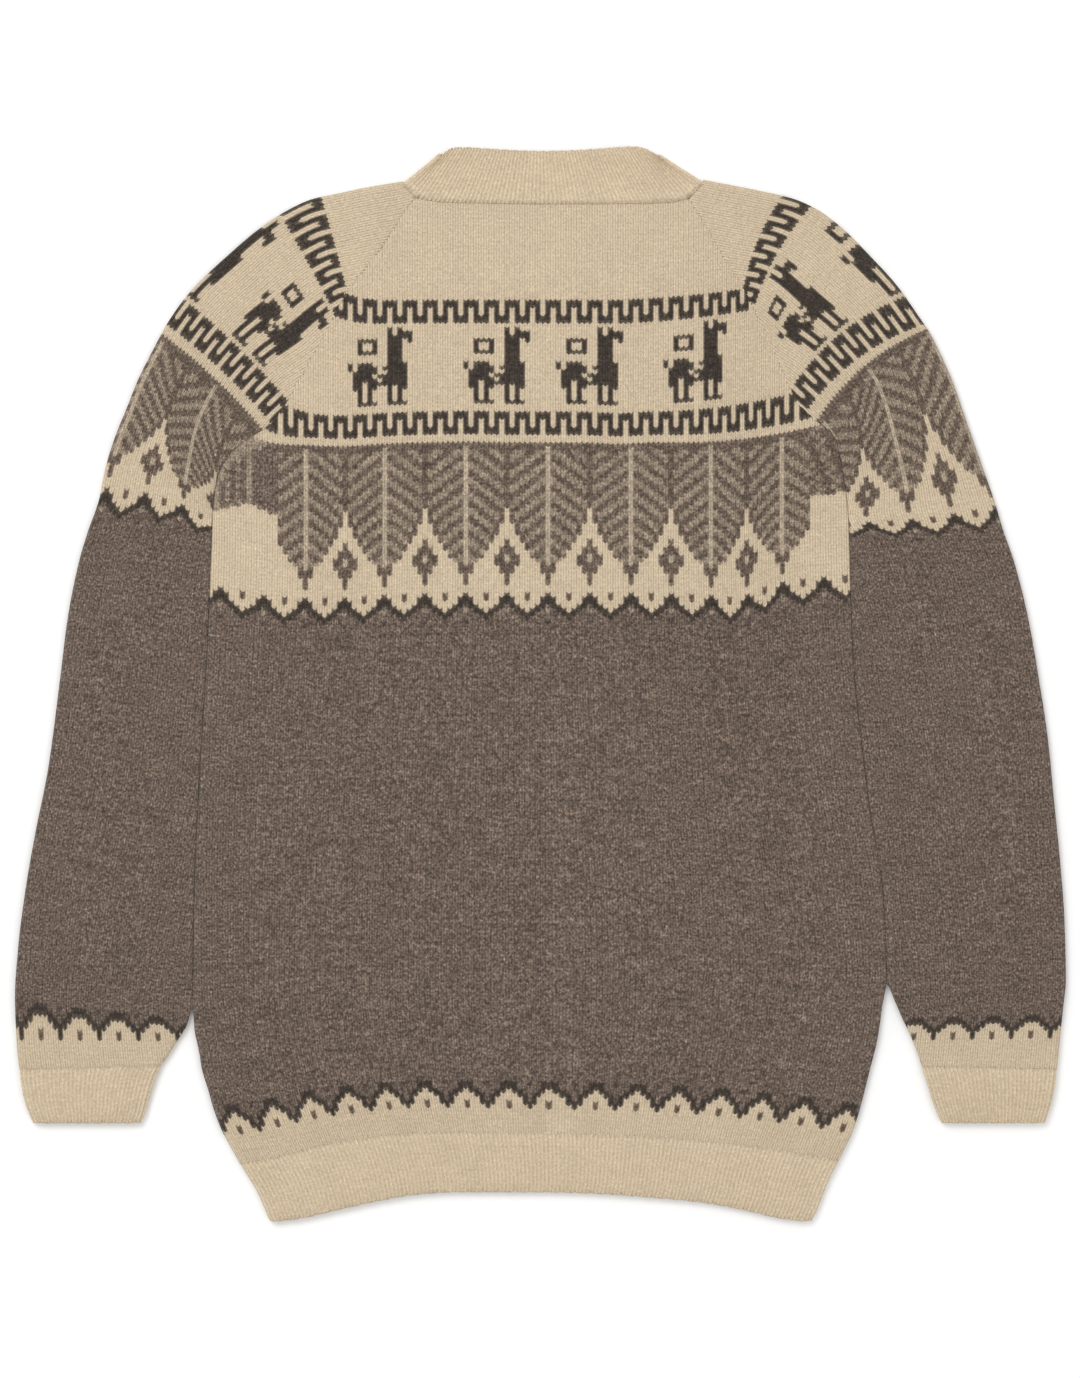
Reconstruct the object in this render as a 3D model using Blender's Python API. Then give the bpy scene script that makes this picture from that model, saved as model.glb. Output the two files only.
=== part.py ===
"""A patterned alpaca pullover laid flat on its front, with its back uppermost and its sleeves beside the body.

Units are metres and +Z is up. The cloth rests on z = 0, the neck points to +Y and the origin is the middle of
the footprint. Every piece is a thin wall of knitting: the back lies on the front, the sleeves are sheets folded at
their outer edge, and the collar and cuffs are flattened tubes of rib.
"""

import math

import bpy
import numpy as np

MM = 0.001

# Driving dimensions in millimetres
WALL = 2.4              # thickness of the plain knitting
RIB_WALL = 2.6          # thickness of the rib between its raised wales
RIB_HEIGHT = 0.7        # how far each rib stands out of its wall
RIB_PITCH = 5.5         # width of one knit wale and one purl wale together
LAYER_GAP = 1.2         # air between the upper and the lower layer
SEAM_GAP = 0.3          # clear space between two pieces where they are sewn
CLEAR_GAP = 0.5         # the same where a ribbed edge meets the straight runs of another piece
EDGE_ROLL = 5.0         # width over which a side edge turns down to its seam
EDGE_FACE = 0.8         # thickness left at a closed seam edge
EDGE_PINCH = 0.6        # how much a free rib edge thins on its outer side
SEAM_DIP = 0.5          # how far the cloth sinks at an open raglan seam
BODY_DOME = 0.7         # extra height of the back's middle over its edges
DOME_TOP = 60           # length below the neckline over which that height grows
DOME_BOTTOM = 30        # length above the hem rib over which it dies out
UNDERARM_Y = 176        # height at which the raglan seams end
UNDERARM_EASE = 22      # length over which the two layers close into a side edge

UPPER_INNER = WALL + LAYER_GAP
UPPER_OUTER = UPPER_INNER + WALL
MID_HEIGHT = UPPER_OUTER / 2
FOLD_STEPS = 4          # facets round a sleeve's outer fold
FOLD_SETTLE = 18        # width beside the fold over which the creases fade out
CREASE_START = 20       # width beside a seam over which the creases rise
CREASE_REACH = 1.2      # how far from its middle a crease dies out, in its own lengths
TURN_STEPS = (0.0, 0.28, 0.6, 1.0)  # where a body panel's points lie across its turned edge
SLEEVE_TURN = 1.5       # the same for the one point across a sleeve's turned edge
TUBE_TURN = (45, 0, -45)  # angles of the points round each end of a flattened tube, in degrees
SHARP_ANGLE = 50        # edges that turn further than this look sharp, in degrees

COLUMN_COUNT = 14       # spans across a body panel between its turned edges
SLEEVE_SPANS = 7        # spans across a sleeve between its seam edge and its fold

# Side edges of the body panels, neck to hem: height up the garment, then the left and the right edge
BODY_LEFT_EDGE = (
    # y, x
    (330, -79), (324, -85), (291, -107), (261, -130), (231, -146), (204, -161), (184, -173), (172, -183),
    (164, -196), (154, -208), (141, -215), (124, -218), (84, -220), (31, -222), (-69, -228), (-138, -231),
    (-209, -232), (-229, -231), (-243, -228), (-256, -226), (-269, -222), (-283, -218), (-296, -213),
    (-309, -206), (-323, -198), (-336, -190), (-349, -184), (-359, -180),
)
BODY_RIGHT_EDGE = (
    # y, x
    (330, 96), (322, 101), (291, 119), (264, 136), (231, 152), (204, 164), (187, 173), (176, 185),
    (167, 196), (147, 201), (129, 204), (104, 206), (68, 207), (33, 208), (-76, 219), (-143, 229),
    (-198, 231), (-209, 229), (-236, 225), (-256, 220), (-276, 215), (-296, 209), (-309, 203),
    (-323, 196), (-336, 190), (-349, 185), (-359, 180),
)

# Inner edges of the sleeves below the point where they part from the body
LEFT_SLEEVE_INNER_EDGE = (
    # y, x
    (-216, -233), (-229, -237), (-236, -242), (-243, -246), (-249, -250), (-256, -255), (-263, -258),
    (-269, -260), (-276, -262), (-283, -264), (-291, -267),
)
RIGHT_SLEEVE_INNER_EDGE = (
    # y, x
    (-199, 232), (-209, 236), (-216, 239), (-223, 242), (-229, 245), (-236, 248), (-243, 251),
    (-249, 253), (-263, 258), (-276, 262), (-291, 268),
)

# Outer fold of each sleeve, where the row of knitting that starts at seam_y on its inner edge ends
LEFT_SLEEVE_FOLD = (
    # seam_y, fold_x, fold_y
    (326, -92, 336), (303, -116, 332), (283, -135, 328), (259, -153, 324), (243, -170, 316), (224, -188, 304),
    (204, -208, 287), (185, -232, 264), (168, -247, 244), (157, -258, 224), (144, -268, 204), (131, -276, 184),
    (121, -284, 164), (111, -290, 144), (103, -294, 124), (92, -301, 104), (74, -307, 84), (37, -315, 44),
    (-1, -320, 4), (-57, -328, -56), (-96, -336, -96), (-137, -343, -136), (-177, -348, -176),
    (-216, -350, -209), (-233, -349, -236), (-254, -347, -256), (-273, -344, -275), (-291, -338, -291),
)
RIGHT_SLEEVE_FOLD = (
    # seam_y, fold_x, fold_y
    (324, 109, 337), (303, 130, 333), (283, 150, 329), (264, 170, 324), (249, 185, 317), (231, 202, 304),
    (211, 219, 287), (193, 238, 266), (177, 252, 246), (164, 260, 234), (154, 265, 224), (141, 274, 204),
    (127, 281, 184), (117, 288, 164), (107, 295, 144), (97, 302, 124), (87, 308, 104), (71, 315, 84),
    (36, 325, 44), (-3, 332, 4), (-39, 338, -36), (-77, 342, -76), (-116, 346, -116), (-156, 349, -156),
    (-198, 350, -196), (-216, 348, -216), (-235, 346, -236), (-254, 344, -256), (-273, 341, -275),
    (-291, 336, -291),
)

# Heights of the body's rows of sections at its centre line, and of the sleeves' further rows below the parting
NECK_Y = 322
RIB_TOP_Y = -299
BODY_ROWS = (
    322, 305, 290, 274, 258, 241, 224, 207, 194, 184, 177, 171, 166, 160, 153, 145, 136, 125, 110, 92, 70, 45,
    15, -20, -55, -90, -125, -155, -180, -205, -222, -240, -255, -268, -280, -290, RIB_TOP_Y,
)
SLEEVE_LOWER_ROWS = (-222, -232, -243, -254)
ROW_CLEARANCE = 4
CUFF_TOP_Y = -254
CUFF_BOTTOM_Y = -291

# Droop of a row at the hem against its distance from the centre line, as a share of the half width
HEM_DROOP = (
    # across, droop
    (-1.0, 20), (-0.88, 16), (-0.75, 9), (-0.62, 4), (-0.5, 1), (-0.35, -1), (0.0, 0), (0.3, 1.5),
    (0.5, 4), (0.65, 7), (0.8, 11), (0.92, 15), (1.0, 18),
)
DROOP_START_Y = 60
DROOP_POWER = 1.6
HEM_BOTTOM_Y = -337
HEM_BOTTOM_DROOP = (
    # across, droop
    (-1.0, 20), (-0.9, 18), (-0.75, 12), (-0.6, 6), (-0.45, 1.5), (-0.3, 0), (0.0, 0), (0.2, 1),
    (0.4, 3.5), (0.6, 7), (0.75, 12), (0.9, 18), (1.0, 20),
)

# Rise of the neckline towards its ends, above its height at the centre line
NECK_RISE = (
    # across, rise
    (-1.0, 5), (-0.85, 2), (-0.65, 0.8), (0.0, 0), (0.65, 0.3), (0.85, 1.2), (1.0, 4),
)
NECK_FADE = 40

# Free top edge of the collar, read from left to right
COLLAR_TOP = (
    # x, y
    (-70, 351), (-64, 357), (-50, 357.5), (-20, 357), (3, 354), (20, 357), (40, 358.5), (70, 358), (84, 351),
)

# Ribs: the width that sets their number, spans of the smooth underside, and their rows
HEM_WIDTH = 380
HEM_STEPS = (0.0, 0.15, 0.93, 1.0)

CUFF_WIDTH = 86
CUFF_UNDER_SPANS = 6
CUFF_SLANT = 0.02       # least slope of a cuff's rows, down towards its outer end
CUFF_STEPS = (
    # y, rib_height, pinch
    (CUFF_TOP_Y - CLEAR_GAP, 0.0, 0.0), (CUFF_TOP_Y - 6, RIB_HEIGHT, 0.0),
    (CUFF_BOTTOM_Y + 2.5, RIB_HEIGHT, 0.0), (CUFF_BOTTOM_Y, RIB_HEIGHT / 2, EDGE_PINCH),
)

COLLAR_WIDTH = 187
COLLAR_UNDER_SPANS = 12
COLLAR_POINTS = 41
COLLAR_STEPS = (
    # height_share, rib_height, pinch
    (0.0, 0.0, 0.0), (0.12, RIB_HEIGHT, 0.0), (0.93, RIB_HEIGHT, 0.0),
    (1.0, RIB_HEIGHT / 2, EDGE_PINCH),
)

# Soft creases of the upper layers: ends of the crest, half width and height
CREASES = (
    # x0, y0, x1, y1, width, height
    (-206, 140, -150, 60, 11, 1.2),
    (196, 150, 146, 58, 12, 1.1),
    (-120, -30, -96, -250, 22, 0.7),
    (84, 40, 112, -190, 26, 0.8),
    (-20, -60, -34, -280, 18, 0.5),
    (160, -60, 150, -270, 20, 0.7),
    (-180, -90, -172, -240, 15, 0.6),
    (-60, 180, 70, 172, 16, 0.4),
    (-246, 150, -262, 20, 12, 0.9),
    (-290, 40, -300, -180, 16, 0.8),
    (-262, -60, -276, -230, 12, 0.6),
    (236, 150, 256, 30, 12, 0.9),
    (300, 50, 312, -170, 17, 0.8),
    (262, -40, 280, -220, 12, 0.6),
    (-170, 240, -226, 196, 14, 0.7),
    (184, 236, 232, 190, 13, 0.6),
)

# Colours of the yarns
CREAM = (0.60, 0.49, 0.345)
GREY_BROWN = (0.145, 0.11, 0.088)


def clear_scene():
    for obj in list(bpy.data.objects):
        bpy.data.objects.remove(obj, do_unlink=True)


def smooth(table, at):
    """The second column of a table at the given values of its first, by a curve that never overshoots."""
    rows = np.array(sorted(table), float)
    x = rows[:, 0]
    y = rows[:, 1]
    step = np.diff(x)
    slope = np.diff(y) / step
    tangent = np.zeros(len(x))
    same = slope[:-1] * slope[1:] > 0
    weight_a = 2 * step[1:] + step[:-1]
    weight_b = step[1:] + 2 * step[:-1]
    safe_before = np.where(same, slope[:-1], 1.0)
    safe_after = np.where(same, slope[1:], 1.0)
    mean = (weight_a + weight_b) / (weight_a / safe_before + weight_b / safe_after)
    tangent[1:-1] = np.where(same, mean, 0.0)
    tangent[0] = slope[0]
    tangent[-1] = slope[-1]
    at = np.clip(np.asarray(at, float), x[0], x[-1])
    k = np.clip(np.searchsorted(x, at, side="right") - 1, 0, len(step) - 1)
    t = (at - x[k]) / step[k]
    rise = y[k] * (1 + 2 * t) * (1 - t) ** 2 + y[k + 1] * t ** 2 * (3 - 2 * t)
    turn = step[k] * (tangent[k] * t * (1 - t) ** 2 + tangent[k + 1] * t ** 2 * (t - 1))
    return rise + turn


def crease_height(x, y):
    """How far the soft creases lift the upper layer at a place."""
    total = np.zeros(np.broadcast(x, y).shape)
    for x0, y0, x1, y1, width, height in CREASES:
        run_x = x1 - x0
        run_y = y1 - y0
        along = ((x - x0) * run_x + (y - y0) * run_y) / (run_x ** 2 + run_y ** 2)
        nearest = np.clip(along, 0, 1)
        away = np.hypot(x - x0 - nearest * run_x, y - y0 - nearest * run_y)
        fade = np.clip(CREASE_REACH - np.abs(along - 0.5), 0, 1)
        total = total + height * fade * np.exp(-((away / width) ** 2))
    return total


def closed_seam(y):
    """0 where the edge is an open raglan seam, 1 where front and back are sewn together at the side."""
    return np.clip((UNDERARM_Y - y) / UNDERARM_EASE, 0, 1)


def roll(distance, edge, flat):
    """Height at a distance from an edge that turns down over a quarter round."""
    share = np.clip(distance / EDGE_ROLL, 0, 1)
    return edge + (flat - edge) * np.sqrt(1 - (1 - share) ** 2)


def ease(distance, edge, flat):
    share = np.clip(distance / EDGE_ROLL, 0, 1)
    return edge + (flat - edge) * share * share * (3 - 2 * share)


def upper_wall(x, y, distance, seam):
    """Outer and inner height of an upper layer, by its distance from the nearest seam edge."""
    lift = crease_height(x, y) * np.clip(distance / CREASE_START, 0, 1)
    top = UPPER_OUTER + lift
    edge_out = (1 - seam) * (top - SEAM_DIP) + seam * (MID_HEIGHT + SEAM_GAP / 2 + EDGE_FACE)
    edge_in = (1 - seam) * (top - WALL) + seam * (MID_HEIGHT + SEAM_GAP / 2)
    return roll(distance, edge_out, top), ease(distance, edge_in, top - WALL)


def lower_wall(distance, seam):
    """Outer and inner height of the layer that rests on the ground."""
    edge_out = seam * (MID_HEIGHT - SEAM_GAP / 2 - EDGE_FACE)
    edge_in = (1 - seam) * WALL + seam * (MID_HEIGHT - SEAM_GAP / 2)
    return roll(distance, edge_out, 0.0), ease(distance, edge_in, WALL)


def row_droop(across, centre_y):
    """How far a row of the body hangs below its height at the centre line."""
    share = np.clip((DROOP_START_Y - centre_y) / (DROOP_START_Y - RIB_TOP_Y), 0, 1)
    return smooth(HEM_DROOP, across) * share ** DROOP_POWER


def neck_rise(across, centre_y):
    """How far a row of the yoke stands above its height at the centre line."""
    share = np.clip(1 - (NECK_Y - centre_y) / NECK_FADE, 0, 1)
    return smooth(NECK_RISE, across) * share


def body_row(centre_y, across):
    """Places along one row of the body for shares of its half width from -1 to 1."""
    y = centre_y - row_droop(across, centre_y) + neck_rise(across, centre_y)
    left = smooth(BODY_LEFT_EDGE, y[0]) + SEAM_GAP
    right = smooth(BODY_RIGHT_EDGE, y[-1]) - SEAM_GAP
    x = left + (right - left) * (across + 1) / 2
    return x, y


def edge_shares(width, spans):
    """Shares from -1 to 1 with three close steps at each turned edge."""
    turned = np.array(TURN_STEPS) * EDGE_ROLL * 2 / width
    middle = np.linspace(-1 + turned[-1], 1 - turned[-1], spans + 1)
    return np.concatenate([-1 + turned[:-1], middle, 1 - turned[:-1][::-1]])


def wall_object(name, outer, inner, ring, material, collection):
    """A closed wall between two grids of points, whose sections run round a ring or stop at two side edges."""
    outer = np.asarray(outer, float)
    inner = np.asarray(inner, float)
    rows, columns = outer.shape[:2]
    points = np.concatenate([outer.reshape(-1, 3), inner.reshape(-1, 3)]) * MM
    shift = rows * columns
    faces = []
    spans = columns if ring else columns - 1
    for i in range(rows - 1):
        for j in range(spans):
            a = i * columns + j
            b = i * columns + (j + 1) % columns
            c = b + columns
            d = a + columns
            faces.append((a, b, c, d))
            faces.append((a + shift, d + shift, c + shift, b + shift))
    for j in range(spans):
        a = j
        b = (j + 1) % columns
        faces.append((a, a + shift, b + shift, b))
        last = (rows - 1) * columns
        faces.append((last + a, last + b, last + b + shift, last + a + shift))
    if not ring:
        for i in range(rows - 1):
            a = i * columns
            faces.append((a, a + columns, a + columns + shift, a + shift))
            b = a + columns - 1
            faces.append((b, b + shift, b + columns + shift, b + columns))
    mesh = bpy.data.meshes.new(name)
    mesh.from_pydata(points.tolist(), [], faces)
    mesh.update()
    if signed_volume(mesh) < 0:
        mesh.flip_normals()
    mesh.shade_smooth()
    mesh.set_sharp_from_angle(angle=math.radians(SHARP_ANGLE))
    mesh.materials.append(material)
    obj = bpy.data.objects.new(name, mesh)
    collection.objects.link(obj)
    return obj


def signed_volume(mesh):
    """Volume inside a closed mesh, negative where its faces point inwards."""
    total = 0.0
    for polygon in mesh.polygons:
        corners = [mesh.vertices[i].co for i in polygon.vertices]
        for b, c in zip(corners[1:-1], corners[2:]):
            total += corners[0].dot(b.cross(c))
    return total / 6


def wool(name, colour):
    material = bpy.data.materials.new(name)
    material.use_nodes = True
    shader = material.node_tree.nodes["Principled BSDF"]
    shader.inputs["Base Color"].default_value = (*colour, 1.0)
    shader.inputs["Roughness"].default_value = 0.95
    shader.inputs["Metallic"].default_value = 0.0
    return material


def body_panel(name, upper, collection):
    """The back or the front: a wall over all the body's rows, neckline to hem rib."""
    outer = []
    inner = []
    for centre_y in BODY_ROWS:
        width = smooth(BODY_RIGHT_EDGE, centre_y) - smooth(BODY_LEFT_EDGE, centre_y)
        across = edge_shares(width, COLUMN_COUNT)
        x, y = body_row(centre_y, across)
        distance = np.minimum(x - x[0], x[-1] - x)
        seam = closed_seam(centre_y)
        if upper:
            high, low = upper_wall(x, y, distance, seam)
            dome = BODY_DOME * (1 - across ** 4) * np.clip((NECK_Y - centre_y) / DOME_TOP, 0, 1)
            dome = dome * np.clip((centre_y - RIB_TOP_Y) / DOME_BOTTOM, 0, 1)
            high = high + dome
            low = low + dome
        else:
            high, low = lower_wall(distance, seam)
        outer.append(np.stack([x, y, high], axis=1))
        inner.append(np.stack([x, y, low], axis=1))
    return wall_object(name, outer, inner, False, wool(name + "_wool", GREY_BROWN), collection)


def sleeve_rows(side):
    """Inner edge place, fold place and seam share of each row of a sleeve, side -1 left or 1 right."""
    body_edge = BODY_LEFT_EDGE if side < 0 else BODY_RIGHT_EDGE
    own_edge = LEFT_SLEEVE_INNER_EDGE if side < 0 else RIGHT_SLEEVE_INNER_EDGE
    parting_y = max(row[0] for row in own_edge)
    levels = []
    for centre_y in BODY_ROWS:
        end = np.array([float(side)])
        edge_y = float((centre_y - row_droop(end, centre_y) + neck_rise(end, centre_y))[0])
        if edge_y > parting_y + ROW_CLEARANCE:
            levels.append(edge_y)
    levels.append(parting_y)
    levels.extend(SLEEVE_LOWER_ROWS)
    rows = []
    for y in levels:
        if y > parting_y:
            x = float(smooth(body_edge, y)) + side * SEAM_GAP
        else:
            x = float(smooth(own_edge, y)) + side * SEAM_GAP
        rows.append(((x, y), sleeve_fold_at(side, y), float(closed_seam(y))))
    return rows


def folded_section(inner_edge, fold, seam):
    """One section of a sleeve: over the top from its seam edge, round the fold and back underneath."""
    start = np.array(inner_edge, float)
    end = np.array(fold, float)
    length = float(np.linalg.norm(end - start))
    radius = UPPER_OUTER / 2
    direction = (end - start) / length
    turned = [0.0, SLEEVE_TURN]
    runs = np.concatenate([turned, np.linspace(EDGE_ROLL, length - radius, SLEEVE_SPANS + 1)])
    place = start + runs[:, None] * direction
    from_fold = length - radius - runs
    high, low = upper_wall(place[:, 0], place[:, 1], runs, seam)
    settle = np.where(runs > EDGE_ROLL, np.clip(from_fold / FOLD_SETTLE, 0, 1), 1)
    high = UPPER_OUTER + (high - UPPER_OUTER) * settle
    low = UPPER_INNER + (low - UPPER_INNER) * settle
    under_runs = np.array([length - radius, EDGE_ROLL, SLEEVE_TURN, 0.0])
    under = start + under_runs[:, None] * direction
    under_high, under_low = lower_wall(under_runs, seam)
    angles = np.linspace(90, -90, FOLD_STEPS + 1)[1:-1] * math.pi / 180
    outer_turn = []
    inner_turn = []
    for angle in angles:
        out = place[-1] + direction * radius * math.cos(angle)
        into = place[-1] + direction * (radius - WALL) * math.cos(angle)
        outer_turn.append((out[0], out[1], radius + radius * math.sin(angle)))
        inner_turn.append((into[0], into[1], radius + (radius - WALL) * math.sin(angle)))
    top_out = [(p[0], p[1], z) for p, z in zip(place, high)]
    top_in = [(p[0], p[1], z) for p, z in zip(place, low)]
    bottom_out = [(p[0], p[1], z) for p, z in zip(under, under_high)]
    bottom_in = [(p[0], p[1], z) for p, z in zip(under, under_low)]
    return top_out + outer_turn + bottom_out, top_in + inner_turn + bottom_in


def sleeve(name, side, collection):
    outer = []
    inner = []
    for inner_edge, fold, seam in sleeve_rows(side):
        out, into = folded_section(inner_edge, fold, seam)
        outer.append(out)
        inner.append(into)
    return wall_object(name, outer, inner, False, wool(name + "_wool", GREY_BROWN), collection)


def rib_rise(count):
    """Alternate raised and sunk points across a ribbed wall."""
    return np.where(np.arange(count) % 2 == 1, RIB_HEIGHT, 0.0)


def panel_row(centre_y):
    """The points of one row of a body panel, as the panel itself has them."""
    width = smooth(BODY_RIGHT_EDGE, centre_y) - smooth(BODY_LEFT_EDGE, centre_y)
    return body_row(centre_y, edge_shares(width, COLUMN_COUNT))


def hem_row(share, across):
    """Places along one row of the hem rib, from its seam at share 0 to its free edge at share 1."""
    seam_x, seam_y = panel_row(RIB_TOP_Y)
    seam_across = 2 * (seam_x - seam_x[0]) / (seam_x[-1] - seam_x[0]) - 1
    top_y = np.interp(across, seam_across, seam_y) - CLEAR_GAP
    bottom_y = HEM_BOTTOM_Y - smooth(HEM_BOTTOM_DROOP, across)
    y = top_y + (bottom_y - top_y) * share
    left = smooth(BODY_LEFT_EDGE, y[0]) + SEAM_GAP
    right = smooth(BODY_RIGHT_EDGE, y[-1]) - SEAM_GAP
    return left + (right - left) * (across + 1) / 2, y


def hem_rib(name, upper, collection):
    """The ribbed band below the back or the front, with a rounded free edge."""
    outer = []
    inner = []
    half_ribs = 2 * round(HEM_WIDTH / RIB_PITCH) if upper else COLUMN_COUNT
    for share in HEM_STEPS:
        across = edge_shares(HEM_WIDTH, half_ribs)
        x, y = hem_row(share, across)
        distance = np.minimum(x - x[0], x[-1] - x)
        if upper:
            high, low = upper_wall(x, y, distance, 1.0)
            rise = rib_rise(len(x)) * np.clip(distance / EDGE_ROLL, 0, 1)
            high = high + (RIB_WALL - WALL) + (rise if share > 0 else 0) - (EDGE_PINCH if share == 1 else 0)
        else:
            high, low = lower_wall(distance, 1.0)
            high = high + (EDGE_PINCH if share == 1 else 0)
        outer.append(np.stack([x, y, high], axis=1))
        inner.append(np.stack([x, y, low], axis=1))
    return wall_object(name, outer, inner, False, wool(name + "_wool", CREAM), collection)


def along_route(route, runs):
    """Places at distances along a route of straight runs."""
    steps = np.hypot(*np.diff(route, axis=0).T)
    reach = np.concatenate([[0], np.cumsum(steps)])
    return np.stack([np.interp(runs, reach, route[:, 0]), np.interp(runs, reach, route[:, 1])], axis=1)


def flat_tube_ring(route, upper_spans, lower_spans, rib_height, pinch):
    """One ring of a flattened ribbed tube along a route, ribbed above and smooth where it rests."""
    route = np.array(route, float)
    length = float(np.hypot(*np.diff(route, axis=0).T).sum())
    height = 2 * RIB_WALL + LAYER_GAP
    radius = height / 2
    hollow = radius - RIB_WALL
    upper = along_route(route, np.linspace(radius, length - radius, upper_spans + 1))
    lower = along_route(route, np.linspace(length - radius, radius, lower_spans + 1))
    outer = []
    inner = []
    for j, place in enumerate(upper):
        rise = rib_height if j % 2 == 1 else 0.0
        outer.append((place[0], place[1], height - pinch + rise))
        inner.append((place[0], place[1], height - RIB_WALL))
    for turn, end, before in ((1, route[-1], upper[-1]), (-1, route[0], upper[0])):
        direction = (end - before) / np.linalg.norm(end - before)
        for angle in [math.radians(angle * turn) for angle in TUBE_TURN]:
            out = before + direction * radius * math.cos(angle)
            into = before + direction * hollow * math.cos(angle)
            outer.append((out[0], out[1], radius + (radius - pinch) * math.sin(angle)))
            inner.append((into[0], into[1], radius + hollow * math.sin(angle)))
        if turn > 0:
            for place in lower:
                outer.append((place[0], place[1], pinch))
                inner.append((place[0], place[1], RIB_WALL))
    return outer, inner


def sleeve_fold_at(side, seam_y):
    """Where the sleeve's fold lies for the row that starts at a height on its inner edge."""
    fold = LEFT_SLEEVE_FOLD if side < 0 else RIGHT_SLEEVE_FOLD
    fold_x = smooth([(row[0], row[1]) for row in fold], seam_y)
    fold_y = smooth([(row[0], row[2]) for row in fold], seam_y)
    return float(fold_x), float(fold_y)


def cuff(name, side, collection):
    """A ribbed cuff: a flattened tube from the sleeve's end to the wrist."""
    own_edge = LEFT_SLEEVE_INNER_EDGE if side < 0 else RIGHT_SLEEVE_INNER_EDGE
    ribs = 2 * round(CUFF_WIDTH / RIB_PITCH)
    outer = []
    inner = []
    for y, rib_height, pinch in CUFF_STEPS:
        near = (float(smooth(own_edge, y)) + side * SEAM_GAP, y)
        far_x, far_y = sleeve_fold_at(side, y)
        far = (far_x, min(far_y, y - (CUFF_TOP_Y - y) * CUFF_SLANT))
        out, into = flat_tube_ring((near, far), ribs, CUFF_UNDER_SPANS, rib_height, pinch)
        outer.append(out)
        inner.append(into)
    return wall_object(name, outer, inner, True, wool(name + "_wool", CREAM), collection)


def neckline():
    """The edge that the collar is sewn to: left sleeve top, body top and right sleeve top."""
    seam_x, seam_y = panel_row(NECK_Y)
    left = sleeve_fold_at(-1, seam_y[0])
    right = sleeve_fold_at(1, seam_y[-1])
    return np.array([left] + list(zip(seam_x, seam_y)) + [right])


def collar(name, collection):
    """The stand collar: a flattened ribbed tube on the neckline, narrower at its free top edge."""
    spans = 2 * round(COLLAR_WIDTH / RIB_PITCH)
    shares = np.linspace(0, 1, COLLAR_POINTS)
    base = neckline()
    base_length = float(np.hypot(*np.diff(base, axis=0).T).sum())
    base = along_route(base, shares * base_length)
    heading = np.gradient(base, axis=0)
    heading = heading / np.hypot(heading[:, 0], heading[:, 1])[:, None]
    base = base + np.stack([-heading[:, 1], heading[:, 0]], axis=1) * CLEAR_GAP
    top = np.array(COLLAR_TOP, float)
    top_length = np.concatenate([[0], np.cumsum(np.hypot(*np.diff(top, axis=0).T))])
    top_x = smooth(list(zip(top_length / top_length[-1], top[:, 0])), shares)
    top_y = smooth(list(zip(top_length / top_length[-1], top[:, 1])), shares)
    top = np.stack([top_x, top_y], axis=1)
    outer = []
    inner = []
    for share, rib_height, pinch in COLLAR_STEPS:
        route = base + (top - base) * share
        out, into = flat_tube_ring(route, spans, COLLAR_UNDER_SPANS, rib_height, pinch)
        outer.append(out)
        inner.append(into)
    return wall_object(name, outer, inner, True, wool(name + "_wool", CREAM), collection)


def build():
    clear_scene()
    collection = bpy.data.collections.new("fair_isle_sweater")
    bpy.context.scene.collection.children.link(collection)
    body_panel("front", False, collection)
    body_panel("back", True, collection)
    sleeve("sleeve_left", -1, collection)
    sleeve("sleeve_right", 1, collection)
    collar("collar", collection)
    hem_rib("hem_rib_front", False, collection)
    hem_rib("hem_rib_back", True, collection)
    cuff("cuff_left", -1, collection)
    cuff("cuff_right", 1, collection)


build()
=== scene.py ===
import math

import bpy
import numpy as np
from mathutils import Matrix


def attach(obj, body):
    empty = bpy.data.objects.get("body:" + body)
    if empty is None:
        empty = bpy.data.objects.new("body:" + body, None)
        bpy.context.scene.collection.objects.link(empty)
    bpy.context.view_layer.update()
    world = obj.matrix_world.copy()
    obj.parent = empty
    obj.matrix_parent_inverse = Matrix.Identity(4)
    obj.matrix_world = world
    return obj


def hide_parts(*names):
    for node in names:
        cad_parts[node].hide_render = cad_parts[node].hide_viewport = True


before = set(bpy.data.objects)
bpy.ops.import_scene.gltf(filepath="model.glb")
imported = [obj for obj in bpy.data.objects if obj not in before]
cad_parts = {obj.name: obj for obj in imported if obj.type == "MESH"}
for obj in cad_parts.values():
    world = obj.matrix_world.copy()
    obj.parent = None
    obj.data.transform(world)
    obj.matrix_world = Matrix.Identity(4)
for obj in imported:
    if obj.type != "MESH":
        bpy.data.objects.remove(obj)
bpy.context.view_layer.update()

# Back panel
# The back of the pullover, from the neckline to the hem rib. It is one piece of stocking stitch in heathered
# alpaca, knitted with a patterned yoke and scalloped borders in two colours a row, and is sewn to the sleeves
# and to the front.

# Sizes in millimetres; the neck points to +Y
MM = 0.001
STITCH_WIDTH = 3.42     # of a stitch beside the raglans
STITCH_DEPTH = 0.75     # relief of the stitches
WALL = 2.4              # thickness of the plain knitting
LAYER_GAP = 1.2         # air between the upper and the lower layer
SEAM_GAP = 0.1          # clear space beside a sewn edge
RAGLAN_GAP = 0.05       # the same on the raglans, where the knitting runs on
EDGE_ROLL = 5.0         # width over which a side edge turns down to its seam
EDGE_FACE = 1.2         # thickness left at a closed seam edge
EDGE_PLAIN = 0.5        # width beside a closed seam without relief
SEAM_DIP = 0.1          # how far the cloth sinks at an open raglan seam
SINK = 0.35             # how far the wall lies below the tops of its stitches
UNDER_SINK = 1.2 * STITCH_DEPTH
UPPER_OUTER = 2 * WALL + LAYER_GAP
MID_HEIGHT = UPPER_OUTER / 2

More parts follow.
